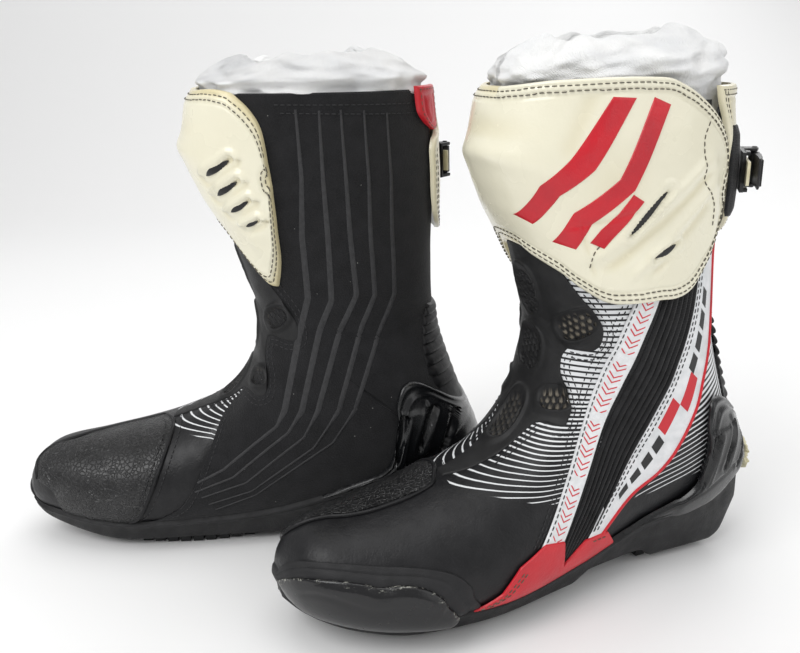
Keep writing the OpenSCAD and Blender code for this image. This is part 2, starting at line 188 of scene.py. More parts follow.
def smooth(x):
    """0 below 0, 1 above 1 and a smooth cubic step between."""
    x = np.clip(x, 0, 1)
    return x * x * (3 - 2 * x)


def waves(x, y, seed):
    """Unrepeating ripple between about -1 and 1: a sum of seven sines whose directions and lengths come from
    a seed."""
    rng = np.random.default_rng(seed)
    n = 7
    total = 0
    for a, k, p in zip(rng.uniform(0, np.pi, n), rng.uniform(0.5, 1.6, n), rng.uniform(0, 6.28, n)):
        total = total + np.sin(k * (x * np.cos(a) + y * np.sin(a)) + p)
    return total / math.sqrt(n) / 1.2


def row_grid(low, high, s0, s1, nr, nc):
    """Grid of (s, u) with rows at constant s, each running between the curves low(s) and high(s)."""
    s = s0 + (s1 - s0) * eased(nr)
    a, b = curve(low, s), curve(high, s)
    return np.repeat(s[:, None], nc, 1), a[:, None] + (b - a)[:, None] * eased(nc)


def column_grid(low, high, u0, u1, nr, nc):
    """Grid of (s, u) with columns at constant u, each running between the curves low(u) and high(u)."""
    u = u0 + (u1 - u0) * eased(nc)
    a, b = curve(low, u), curve(high, u)
    return a + (b - a) * eased(nr)[:, None], np.repeat(u[None], nr, 0)


def resampled(points, n, rounded=True):
    """n points along a line of knots, evenly by length, on a smooth curve or on straight pieces."""
    p = np.array(points, float)
    d = run_length(p)
    t = np.linspace(0, d[-1], n)
    line = (lambda c: curve(np.stack([d, c], 1), t)) if rounded and len(p) > 2 else (lambda c: np.interp(t, d,
            c))
    return np.stack([line(p[:, k]) for k in range(p.shape[1])], -1)


def side_grid(edge_a, edge_b, nr, nc, hand=1, rounded=True):
    """Grid of (s, u) between two lines of the side view: points a quarter, half and so on from one to the
    other."""
    a, b = resampled(edge_a, nr, rounded), resampled(edge_b, nr, rounded)
    g = a[:, None] + (b - a)[:, None] * eased(nc, 0.06)[None, :, None]
    return on_side(g[..., 0], g[..., 1], hand)


def border(p):
    """Distance of each grid point to the grid's edge, in millimetres, and its lengths along rows and
    columns."""
    along = np.concatenate([np.zeros((1, p.shape[1])), np.cumsum(np.linalg.norm(np.diff(p, axis=0), axis=2),
            0)])
    across = np.concatenate([np.zeros((p.shape[0], 1)), np.cumsum(np.linalg.norm(np.diff(p, axis=1), axis=2),
            1)], 1)
    d = np.minimum(np.minimum(along, along[-1:] - along), np.minimum(across, across[:, -1:] - across))
    return d, along, across


def share_across(p):
    """How far each point of a grid is along its row, from 0 to 1 by length."""
    across = border(p)[2]
    return across / np.maximum(across[:, -1:], 1)


def cloth_fields(p):
    """What a material may ask of a piece: distance to its edge, and lengths along and across it."""
    d, along, across = border(p)
    return {"edge": d, "cloth": np.stack([along, across, 0 * d], -1)}


def segment(f, z, f0, z0, f1, z1):
    """Share of the way along a segment of the side view, and distance from the segment."""
    df, dz = f1 - f0, z1 - z0
    t = np.clip(((f - f0) * df + (z - z0) * dz) / (df * df + dz * dz), 0, 1)
    return t, np.hypot(f - f0 - t * df, z - z0 - t * dz)


def rolled(d, r):
    """Drop of a quarter-round edge of radius r at distance d from it."""
    return r - np.sqrt(np.maximum(r * r - (r - np.minimum(d, r)) ** 2, 0))


def grid_quads(nr, nc, start=0, loop=False):
    """Quads of a grid, row by row; with loop, each row closes on itself."""
    i, j = np.meshgrid(np.arange(nr - 1), np.arange(nc if loop else nc - 1), indexing="ij")
    k = (j + 1) % nc
    return np.stack([i * nc + j, (i + 1) * nc + j, (i + 1) * nc + k, i * nc + k], -1).reshape(-1, 4) + start


def solid(outer, inner, loop=False):
    """Closed skin between two grids of points: both grids, the second turned over, and bands along their
    edges."""
    nr, nc = outer.shape[:2]
    n = nr * nc
    quads = [grid_quads(nr, nc, 0, loop), grid_quads(nr, nc, n, loop)[:, ::-1]]
    ids = np.arange(n).reshape(nr, nc)
    if loop:
        edges = [np.append(ids[0], ids[0, 0]), np.append(ids[-1], ids[-1, 0])[::-1]]
    else:
        edges = [ids[0], ids[:, -1], ids[-1, ::-1], ids[::-1, 0]]
    for e in edges:
        quads.append(np.stack([e[:-1], e[1:], e[1:] + n, e[:-1] + n], -1))
    return np.concatenate([outer.reshape(-1, 3), inner.reshape(-1, 3)]), np.concatenate(quads)


def capped(rings):
    """Closed skin over a row of rings of points: bands between them, and fans of quads over the first and
    last."""
    n, sides = rings.shape[:2]
    k, end = np.arange(sides), (n - 1) * sides
    caps = np.stack([np.zeros(sides // 2 - 1, int), k[1:-2:2], k[2:-1:2], k[3::2]], -1)
    return rings.reshape(-1, 3), np.concatenate([grid_quads(n, sides, 0, True), caps, caps[:, ::-1] + end])


def tube(path, radius, sides=8):
    """Closed round bead carried along a path: rings of points square to it, its ends drawn in."""
    p = np.asarray(path, float)
    t = unit(np.gradient(p, axis=0))
    b = unit(np.cross(t, [0.31, 0.22, 0.92]))
    n = np.cross(b, t)
    a = np.linspace(0, 2 * np.pi, sides, endpoint=False)[None, :, None]
    ring = lambda c, r: c[:, None] + r * (np.cos(a) * b[:, None] + np.sin(a) * n[:, None])
    first, last = ring(p[:1] - t[:1] * radius * 0.5, radius * 0.4), ring(p[-1:] + t[-1:] * radius * 0.5,
            radius * 0.4)
    v = np.concatenate([first, ring(p, radius), last])
    return capped(v)


def merged(parts):
    """Several (points, quads) as one."""
    shift = np.cumsum([0] + [len(p) for p, _ in parts[:-1]])
    return np.concatenate([p for p, _ in parts]), np.concatenate([q + k for (_, q), k in zip(parts, shift)])


def stitching(s, u, off, long, gap=1.1, thick=0.38):
    """Row of stitches along a line on the surface: each is a short four-sided bead that dips into its
    holes."""
    p = skin(s, u, off)
    n = outward(s, u, off)
    d = run_length(p)
    count = max(1, int(d[-1] // (long + gap)))
    start = (np.arange(count) + 0.5) * (long + gap) - long / 2 + (d[-1] - count * (long + gap)) / 2
    t = start[:, None] + long * np.array([0, 0.12, 0.5, 0.88, 1])
    at = lambda c: np.stack([np.interp(t, d, c[:, k]) for k in range(3)], -1)
    c, m = at(p), unit(at(n))
    b = np.cross(np.broadcast_to(unit(c[:, -1:] - c[:, :1]), m.shape), m)
    rise = np.array([-0.35, 0.02, 0.12, 0.02, -0.35])[None, :, None] * thick
    r = np.array([0.45, 0.9, 1, 0.9, 0.45])[None, :, None, None] * thick
    a = np.pi / 4 + np.arange(4) * np.pi / 2
    round_it = np.cos(a)[:, None] * b[:, :, None] + np.sin(a)[:, None] * m[:, :, None]
    ring = (c + rise * m)[:, :, None] + r * round_it
    one = np.concatenate([grid_quads(5, 4, 0, True), [[0, 1, 2, 3]], [[19, 18, 17, 16]]])
    quads = one[None] + 20 * np.arange(count)[:, None, None]
    return ring.reshape(-1, 3), quads.reshape(-1, 4)


# ------------------------------------------------------------------ putting pieces on their bodies


def place(side, p):
    """Points of one boot's own frame, in millimetres, as points of the pair's frame, in metres: the right
    boot is the left one mirrored, turned about its ankle and moved."""
    p = np.array(p, float)
    if side == "right":
        c, k = math.cos(RIGHT_TURN), math.sin(RIGHT_TURN)
        p = np.stack([-c * p[..., 0] - k * p[..., 1] + RIGHT_AT[0],
                      -k * p[..., 0] + c * p[..., 1] + RIGHT_AT[1], p[..., 2]], -1)
    return (p - [*PAIR_MID, 0]) / 1000


def make(side, name, shape, material, fields=None, sharp=35):
    """Mesh object of one boot from (points, quads), faces outwards: the signed volume of the closed mesh
    tells which way round they are. Its own-frame coordinates in millimetres go in the attribute "boot" as
    lateral, forward and up, and fields holds further values per point."""
    p, q = shape
    w = place(side, p)
    a, b, c, d = (w[q[:, k]] for k in range(4))
    if (a * (np.cross(b, c) + np.cross(c, d))).sum() < 0:
        q = q[:, ::-1]
    me = bpy.data.meshes.new(f"{name}_{side}")
    me.from_pydata(w, [], q)
    me.validate()
    at = me.attributes.new("boot", "FLOAT_VECTOR", "POINT")
    at.data.foreach_set("vector", (p * [1, -1, 1]).astype(np.float32).ravel())
    for key, given in (fields or {}).items():
        given = np.asarray(given, np.float32)
        kind, word = ("FLOAT_VECTOR", "vector") if given.ndim == 3 else ("FLOAT", "value")
        me.attributes.new(key, kind, "POINT").data.foreach_set(word, np.tile(given.ravel(), 2))
    me.shade_smooth()
    me.set_sharp_from_angle(angle=math.radians(sharp))
    me.materials.append(material)
    ob = bpy.data.objects.new(f"{name}_{side}", me)
    bpy.context.scene.collection.objects.link(ob)
    return ob


def fit(ob, side, on, nodes=()):
    """Rides a piece on a body, or, where it spans the ankle or the flap's hinge, leaves it unparented with
    its transform baked in; and hides the frame's parts that it stands for."""
    if on in BENDS:
        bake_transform(ob)
    else:
        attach(ob, f"{side}_{on}")
    if nodes:
        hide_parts(*[f"{side}_{n}" for n in nodes])
    return ob


def shell(side, name, s, u, out, thick, material, on, nodes=(), edge=1.0, extra=None, sharp=35,
          hollow=0.0):
    """Sewn or moulded shell: the surface at offset out, with its edge rolled over a quarter round, and an
    inner face thick below it, less hollow. Distances to the edge and along the piece go with it for the
    material."""
    fields = cloth_fields(skin(s, u, 0.0)) | {"rise": out + 0 * s} | (extra or {})
    d = fields["edge"]
    low = np.minimum(out, np.median(out)) - thick + hollow
    o = out - rolled(d, min(edge, thick * 0.8))
    low = np.minimum(low, o - 0.25)
    return fit(make(side, name, solid(skin(s, u, o), skin(s, u, low)), material, fields, sharp), side, on,
               nodes)


def thread(side, name, lines, material, on):
    """Rows of stitches as one piece; lines holds (s, u, off) of each row."""
    st = bpy.context.scene.boot_look
    parts = [stitching(np.asarray(s, float), np.asarray(u, float), off, st.stitch * 1000)
             for s, u, off in lines]
    return fit(make(side, name, merged(parts), material, sharp=80), side, on, ())


def side_line(points, n=120, hand=1, rounded=True):
    """(s, u) along a line of the side view."""
    g = resampled(points, n, rounded)
    return on_side(g[:, 0], g[:, 1], hand)


def surface_line(points, n=120):
    """(s, u) along a line given by its own (s, u) knots."""
    g = resampled(np.array(points, float) * [S_LENGTH, 1], n)
    return g[:, 0] / S_LENGTH, g[:, 1]


def shifted(s, u, mm):
    """A (s, u) line moved mm sideways over the surface: the step square to it, split along s and u by least
    squares."""
    s, u = np.asarray(s, float), np.asarray(u, float)
    p, n = skin(s, u, 0.0), outward(s, u)
    b = np.cross(n, unit(np.gradient(p, axis=0))) * np.reshape(mm, (-1, 1))
    es, eu = (skin(s + 0.05, u, 0) - p) / 0.05, skin(s, u + 1.0, 0) - p
    aa, ab, bb = (es * es).sum(1), (es * eu).sum(1), (eu * eu).sum(1)
    ra, rb = (es * b).sum(1), (eu * b).sum(1)
    det = aa * bb - ab * ab
    return s + (ra * bb - rb * ab) / det, u + (rb * aa - ra * ab) / det


def hexes(a, b, pitch):
    """Distance from each point to the nearest wall of a honeycomb, from its nearest cell's middle."""
    best = None
    half, high = pitch / 2, pitch * math.sqrt(3) / 2
    for sa, sb in ((0, 0), (half, high)):
        x = (a - sa + half) % pitch - half
        y = (b - sb + high) % (2 * high) - high
        d = x * x + y * y
        r = half - np.maximum(np.abs(x), np.abs(x) / 2 + np.abs(y) * math.sqrt(3) / 2)
        best = (d, r) if best is None else (np.minimum(d, best[0]), np.where(d < best[0], r, best[1]))
    return best[1]


def line_grid(a, b, nr, nc):
    """Grid of (s, u) between two lines given by (s, u) knots: straight steps from one to the other."""
    (sa, ua), (sb, ub) = surface_line(a, nr), surface_line(b, nr)
    t = eased(nc, 0.07)[None]
    return sa[:, None] + (sb - sa)[:, None] * t, ua[:, None] + (ub - ua)[:, None] * t


def edge_lines(s, u, mm):
    """(s, u) lines mm inside a grid's edges: 0 its first row, 1 its last column, 2 its last row, 3 its first
    column."""
    _, along, across = border(skin(s, u, 0.0))
    lines = []
    for e in range(4):
        grid_s, grid_u, depth = (s, u, along) if e in (0, 2) else (s.T, u.T, across.T)
        if e in (1, 2):
            depth = depth[-1:] - depth
        k = np.abs(depth - mm).argmin(0)
        j = np.arange(grid_s.shape[1])
        wide = depth.max(0) > 2 * mm
        inside = wide & (np.minimum(np.cumsum(wide), np.cumsum(wide[::-1])[::-1]) > 2)
        if inside.sum() > 4:
            lines.append((grid_s[k, j][inside], grid_u[k, j][inside]))
    return lines


# ------------------------------------------------------------------ finishes


def linear(colour):
    """Linear red, green, blue and alpha, from an sRGB hex code or from linear red, green and blue."""
    if not isinstance(colour, str):
        return (*colour, 1.0)
    v = np.array([int(colour[i:i + 2], 16) for i in (1, 3, 5)]) / 255
    return (*np.where(v <= 0.04045, v / 12.92, ((v + 0.055) / 1.055) ** 2.4).tolist(), 1.0)


def add(mat, kind, *ins, out=0, **more):
    """Adds a node and gives one of its outputs. ins are its first inputs in their order; capitalised words
    name further inputs, and other words are its settings. An input is a value or another node's output."""
    n = mat.node_tree.nodes.new("ShaderNode" + kind)
    given = dict(enumerate(ins))
    for k, v in more.items():
        if k[0].isupper():
            given[k] = v
        else:
            setattr(n, k, v)
    for k, v in given.items():
        plug(mat, n.inputs[k], v)
    return n.outputs[out]


def plug(mat, socket, given):
    """Links another node's output to a socket, or puts a constant on it."""
    if isinstance(given, bpy.types.NodeSocket):
        mat.node_tree.links.new(given, socket)
    else:
        socket.default_value = given


def finish(name, colour, roughness, height=None, depth=1.0, **sockets):
    """Material with a Principled surface. Colour, roughness and height in millimetres are constants, or
    tuples of a function and its arguments after the material; further constants go on the surface's own
    sockets."""
    mat = bpy.data.materials.new(name)
    mat.use_nodes = True
    surface = mat.node_tree.nodes["Principled BSDF"]
    made = lambda v: v[0](mat, *v[1:]) if isinstance(v, tuple) and callable(v[0]) else v
    for k, v in sockets.items():
        surface.inputs[k.replace("_", " ")].default_value = v
    plug(mat, surface.inputs["Base Color"], made(colour))
    plug(mat, surface.inputs["Roughness"], made(roughness))
    if height:
        plug(mat, surface.inputs["Normal"], add(mat, "Bump", Height=made(height), Distance=0.001 * depth,
                                                Strength=1.0))
    return mat


def spot(mat):
    """The piece's own millimetre coordinates: lateral, forward, up."""
    return add(mat, "Attribute", out=1, attribute_name="boot")


def value(mat, key):
    """A number that the piece carries per point."""
    return add(mat, "Attribute", out=2, attribute_name=key)


def cloth(mat, k):
    """Millimetres along the piece for k 0, or across it for k 1."""
    return add(mat, "SeparateXYZ", add(mat, "Attribute", out=1, attribute_name="cloth"), out=k)


def bent(mat, scale, reach):
    """The piece's own coordinates pushed about by a coarse noise: noise times reach millimetres, added."""
    push = add(mat, "TexNoise", Vector=spot(mat), Scale=scale, Detail=2.0, out=1)
    return add(mat, "VectorMath", push, (reach,) * 3, spot(mat), operation="MULTIPLY_ADD")


def grain(mat, size):
    """Pebbled height of that grain size in millimetres: rounded cells, bent by a noise three times as
    coarse."""
    cells = add(mat, "TexVoronoi", Vector=bent(mat, 0.33 / size, size * 2.2), Scale=1 / size, Smoothness=0.6,
                feature="SMOOTH_F1")
    slow = add(mat, "TexNoise", Vector=spot(mat), Scale=0.12, Detail=3.0)
    return add(mat, "Math", cells, -0.1, add(mat, "Math", slow, 0.5, operation="MULTIPLY"),
               operation="MULTIPLY_ADD")


def mottled(mat, a, b, scale, low=0.35, high=0.7):
    """Colour that drifts from a to b with a noise of that scale per millimetre."""
    n = add(mat, "TexNoise", Vector=spot(mat), Scale=scale, Detail=4.0)
    return add(mat, "MixRGB", add(mat, "MapRange", n, low, high), linear(a), linear(b))


def off_middle(mat, x, pitch):
    """How far x is from the middle of its repeat, from 0 to half a repeat: the fraction of x over the pitch,
    less a half, without its sign."""
    turn = add(mat, "Math", add(mat, "Math", x, pitch, operation="DIVIDE"), operation="FRACT")
    return add(mat, "Math", add(mat, "Math", turn, 0.5, operation="SUBTRACT"), operation="ABSOLUTE")


def pinned(mat, pitch):
    """Black leather printed with level white lines: they fill a fifth of the pitch low down and two thirds
    high up, inside the field that the attribute "pins" measures in millimetres."""
    half = add(mat, "MapRange", add(mat, "SeparateXYZ", spot(mat), out=2), 84.0, 132.0, 0.095, 0.32)
    over = add(mat, "Math", half, off_middle(mat, value(mat, "line"), pitch), operation="SUBTRACT")
    inside = add(mat, "MapRange", value(mat, "pins"), -0.15, 0.15)
    ink = add(mat, "Math", add(mat, "MapRange", over, -0.03, 0.03), inside, operation="MULTIPLY")
    return add(mat, "MixRGB", ink, mottled(mat, "#141416", "#1f1f21", 0.05), linear("#E4E6E8"))


def specked(mat):
    """Suede: dark nap in soft clouds, with pale lint specks a third of a millimetre wide about every 9 mm."""
    fine = add(mat, "TexNoise", Vector=spot(mat), Scale=1.6, Detail=3.0)
    nap = add(mat, "MixRGB", add(mat, "MapRange", fine, 0.4, 0.75, 0.0, 0.55), mottled(mat, "#0f0f11",
            "#1b1b1d", 0.09), linear("#2a2a2c"))
    near = add(mat, "TexVoronoi", Vector=spot(mat), Scale=0.11)
    return add(mat, "MixRGB", add(mat, "Math", near, 0.035, operation="LESS_THAN"), nap, linear("#8f8f8c"))


def ivory_with_hollow_shade(mat, ivory):
    """Ivory polyurethane: a touch warmer in clouds, with painted shade, darker and warmer, in the hollows."""
    # Painted shade: the lower the relief, the more of the darker, warmer ivory
    low = add(mat, "MapRange", value(mat, "rise"), 7.0, 4.2, 0.0, 0.75)
    return add(mat, "MixRGB", low, mottled(mat, ivory, "#E9E4CC", 0.02, 0.2, 0.9), linear("#D3C594"))


def chevrons(mat, white, red):
    """White strip printed with a row of small red outlined chevrons, in runs of four with a gap between
    runs."""
    side = add(mat, "Math", value(mat, "middle"), operation="ABSOLUTE")
    slant = add(mat, "Math", side, 0.8, cloth(mat, 0), operation="MULTIPLY_ADD")
    ring = add(mat, "Math", off_middle(mat, slant, 7.5), 0.2, operation="SUBTRACT")
    ink = add(mat, "MapRange", add(mat, "Math", ring, operation="ABSOLUTE"), 0.08, 0.05)
    turn = add(mat, "Math", add(mat, "Math", cloth(mat, 0), 37.5, operation="DIVIDE"), operation="FRACT")
    for within in (add(mat, "MapRange", side, 4.0, 3.7), add(mat, "Math", turn, 0.84, operation="LESS_THAN")):
        ink = add(mat, "Math", ink, within, operation="MULTIPLY")
    return add(mat, "MixRGB", ink, mottled(mat, white, "#D9DBDC", 0.3), linear(red))


def fine_noise(mat, scale, amount):
    """Even fine roughness: a noise of that scale per millimetre, times amount."""
    n = add(mat, "TexNoise", Vector=spot(mat), Scale=scale, Detail=5.0, Roughness=0.6)
    return add(mat, "Math", n, amount, operation="MULTIPLY")


def waved(mat, k, pitch):
    """Sine of the length along (k 0) or across (k 1) the piece, one wave every pitch millimetres."""
    turn = add(mat, "Math", cloth(mat, k), 2 * math.pi / pitch, operation="MULTIPLY")
    return add(mat, "Math", turn, operation="SINE")


def knit_height(mat):
    """Knitted loops: rows and columns of small waves, drawn twice as coarse as real ones, and lint."""
    wave = add(mat, "Math", waved(mat, 0, 1.2), waved(mat, 1, 1.5), operation="MULTIPLY")
    lint = add(mat, "TexNoise", Vector=spot(mat), Scale=0.5, Detail=5.0, Roughness=0.65)
    return add(mat, "Math", wave, 0.1, add(mat, "Math", lint, 0.7, operation="MULTIPLY"),
               operation="MULTIPLY_ADD")


def ribbed_cloth(mat, pitch):
    """Fine ribs across the piece, one every pitch millimetres, under a fine noise."""
    return add(mat, "Math", waved(mat, 0, pitch), 0.08, fine_noise(mat, 0.8, 0.35), operation="MULTIPLY_ADD")


def crackle(mat):
    """Cracked pebbles 2 to 3 mm across with sunk joints between them."""
    joint = add(mat, "TexVoronoi", Vector=bent(mat, 0.2, 2.4), Scale=0.36, feature="DISTANCE_TO_EDGE")
    return add(mat, "MapRange", joint, 0.02, 0.16, 0.0, 0.38)


def scuffed(mat, base, mark, amount):
    """Dark plastic with pale rub marks: a stretched noise cut off at amount, thicker towards the piece's
    edge."""
    at = add(mat, "Mapping", spot(mat), Scale=(0.35, 0.12, 0.5))
    n = add(mat, "TexNoise", Vector=at, Scale=1.3, Detail=8.0, Roughness=0.75)
    near = add(mat, "MapRange", value(mat, "edge"), 3.5, 0.0, 0.0, 0.14)
    share = add(mat, "MapRange", add(mat, "Math", n, near, operation="ADD"), amount, amount + 0.08)
    return add(mat, "MixRGB", share, linear(base), linear(mark))


def rough(mat, low, high, scale=0.12):
    """Roughness that drifts between low and high with a noise of that scale per millimetre."""
    n = add(mat, "TexNoise", Vector=spot(mat), Scale=scale, Detail=4.0)
    return add(mat, "MapRange", n, 0.3, 0.7, low, high)


def meshed(mat):
    """Black rubber, with pale mesh where the attribute "pale" says so."""
    return add(mat, "MixRGB", value(mat, "pale"), mottled(mat, "#141415", "#1f1f20", 0.1), linear("#7d766a"))


def steely(mat):
    """Two dark greys mixed by a fine noise."""
    return add(mat, "MixRGB", fine_noise(mat, 3.0, 1.0), linear("#2d2d2f"), linear("#48484a"))


def materials(look):
    """Every finish of the boots, each named for its real material."""
    ivory, red, white = look.ivory, look.red, look.white
    gloss = lambda level: {"Specular_IOR_Level": level}
    return {
        # Coated microfibre: fine pebbled grain 1.2 mm across, a soft satin shine that breaks up over it
        "leather": finish("grained black microfibre", (mottled, "#0f0f11", "#1a1a1c", 0.06),
                          (rough, 0.4, 0.58),
                          (grain, 1.2), **gloss(0.32)),
        "pinned": finish("printed black microfibre", (pinned, look.pin_pitch * 1000), (rough, 0.36, 0.5),
                         (grain, 1.2), **gloss(0.32)),
        # Suede: no shine, a soft nap that catches light at grazing angles
        "suede": finish("black suede", (specked,), 0.95, (fine_noise, 1.1, 0.5), Sheen_Weight=0.12,
                        Sheen_Roughness=0.6, **gloss(0.2)),
        "suede_print": finish("polyurethane print on suede", (mottled, "#222224", "#2f2f31", 0.35), 0.5,
                              (fine_noise, 0.9, 0.5), **gloss(0.5)),
        # Moulded polyurethane: glossy, faintly wavy from its mould
        # The ivory carries painted shade in its hollows, where the relief is low
        "ivory": finish("moulded ivory polyurethane", (ivory_with_hollow_shade, ivory), (rough, 0.2, 0.32, 0.03),
                        (fine_noise, 0.12, 0.25), Coat_Weight=0.35, Coat_Roughness=0.12, **gloss(0.5)),
        "red": finish("moulded red polyurethane", (mottled, red, "#B71C2A", 0.05), 0.34, (grain, 0.9),
                      **gloss(0.5)),
        # Thermoplastic rubber: dull, with a little bloom
        "rubber": finish("moulded thermoplastic rubber", (mottled, "#141416", "#1f1f21", 0.08),
                         (rough, 0.5, 0.66),
                         (fine_noise, 1.4, 0.25), **gloss(0.4)),
        "mesh": finish("vented rubber over pale mesh", (meshed,), (rough, 0.5, 0.62), (fine_noise, 1.4, 0.2),
                       **gloss(0.4)),
        "sole": finish("outsole rubber", (mottled, "#151517", "#222223", 0.05, 0.3, 0.75), (rough, 0.48, 0.7),
                       (fine_noise, 0.9, 0.4), **gloss(0.4)),
        # Injection-moulded nylon and polyurethane shells: satin, sharp highlights along their edges
        "shell": finish("satin black heel shell", (scuffed, "#101113", "#2e2e30", 0.72), (rough, 0.16, 0.3),
                        (fine_noise, 0.5, 0.12), **gloss(0.55)),
        "slider": finish("scuffed polyurethane slider", (scuffed, "#151517", "#97978f", 0.66),
                         (rough, 0.14, 0.3),
                         (fine_noise, 0.5, 0.15), **gloss(0.5)),
        "insert": finish("ragged ivory scuff foam", (mottled, "#E6E1C2", "#C9BF95", 0.4), 0.75,
                         (fine_noise, 0.7, 1.4)),
        "nylon": finish("satin black nylon", (mottled, "#0e0e10", "#18181a", 0.2), 0.36,
                        (fine_noise, 1.5, 0.1),
                        **gloss(0.5)),
        "strap": finish("ivory ladder strap nylon", (mottled, "#DDD6B8", "#CFC7A4", 0.2), 0.4,
                        (fine_noise, 1.0, 0.15)),
        # Coated print strips: white ink over a fine grain
        "chevrons": finish("white printed strip", (chevrons, white, red), 0.45, (grain, 0.8)),
        "white": finish("white coated strip", (mottled, white, "#D3D6D8", 0.12), 0.42, (grain, 0.8)),
        "ink": finish("black screen print", (mottled, "#1a1a1b", "#252526", 0.3), 0.5),
        "red_ink": finish("red screen print", (mottled, red, "#C3202E", 0.3), 0.45),
        # Rubber pad with a cracked grain: its pebbles shine a little and the joints between them do not
        "crackle": finish("crackle-grained rubber pad", (mottled, "#151516", "#222223", 0.05),
                          (rough, 0.26, 0.42),
                          (crackle,), **gloss(0.5)),
        # Cloths: the knit has a nap, the others are flat weaves
        "knit": finish("padded white knit", (mottled, "#F6F6F5", "#E6E7E8", 0.04), 0.95, (knit_height,), 1.4,
                       Sheen_Weight=0.25, Sheen_Roughness=0.5, **gloss(0.25)),
        "stretch": finish("ribbed stretch cloth", (mottled, "#111113", "#1e1e20", 0.12), 0.7,
                          (ribbed_cloth, 0.9),
                          Sheen_Weight=0.1, **gloss(0.3)),
        "lining": finish("grey mesh lining", (mottled, "#3b3b3d", "#4d4d50", 0.2), 0.9, (ribbed_cloth, 1.6),
                         Sheen_Weight=0.1),
        "board": finish("fibre insole board", (mottled, "#3a3531", "#4a443e", 0.5), 0.9),
        "tape": finish("woven zip tape", (mottled, "#0f0f10", "#191919", 0.5), 0.8, (ribbed_cloth, 0.8)),
        # Bonded nylon thread: black on the leather, a greyed tone on the ivory and the red
        "thread": finish("black bonded thread", (mottled, "#1c1c1e", "#2f2f31", 0.4), 0.6),
        "dark_thread": finish("dark bonded thread", (mottled, "#4a463c", "#6b6555", 0.4), 0.6),
        # Blackened steel: dark, with a dull metal shine
        "steel": finish("blackened steel", (steely,), 0.38, Metallic=1.0),
    }


# ------------------------------------------------------------------ upper


SUEDE_FRONT = [[4.25, -122], [4.5, -105], [4.84, -82], [4.95, -60], [5.1, -30], [5.4, -26], [6.5, -28],
               [8, -28], [9.5, -28], [10.4, -14], [11, -4], [13.86, -3]]
BELLOWS_LOW = [[4.1, -4], [4.5, -6], [4.9, -12], [5.3, -20], [5.65, -26], [5.9, -36], [6.15, -46],
               [6.45, -50], [6.7, -46], [6.95, -36], [7.4, -34], [7.8, -40], [8.2, -50], [8.7, -57],
               [9.3, -59], [9.8, -54], [10.2, -44], [10.9, -30]]
BELLOWS_HIGH = [[4.1, 4], [4.4, 10], [4.8, 13], [5.2, 15], [5.6, 20], [5.82, 28], [6.0, 36], [6.25, 42],
                [6.5, 42], [6.72, 36], [6.95, 27], [7.3, 25], [7.7, 27], [8.0, 35], [8.4, 42], [9.0, 47],
                [9.5, 49], [9.85, 46], [10.1, 40], [10.9, 26]]


def creases(s, u):
    """Rise of the suede over the upper: two soft sags on the inner side, each under a bulge, and a slow
    ripple."""
    z = skin(s, u, 0)[..., 2]
    side_on = smooth((-u - 60) / 25) * smooth((175 + u) / 20)
    sag = -1.0 * bell((z - 146 - 4 * np.sin(u / 14)) / 3.2) - 0.8 * bell((z - 94 - 5 * np.sin(u / 19)) / 3) \
        + 0.8 * bell((z - 156) / 8) + 0.7 * bell((z - 105) / 8)
    return 0.6 + side_on * (sag + 0.25 * waves(z / 9, u / 16, 11)) * smooth(s - 5.5)


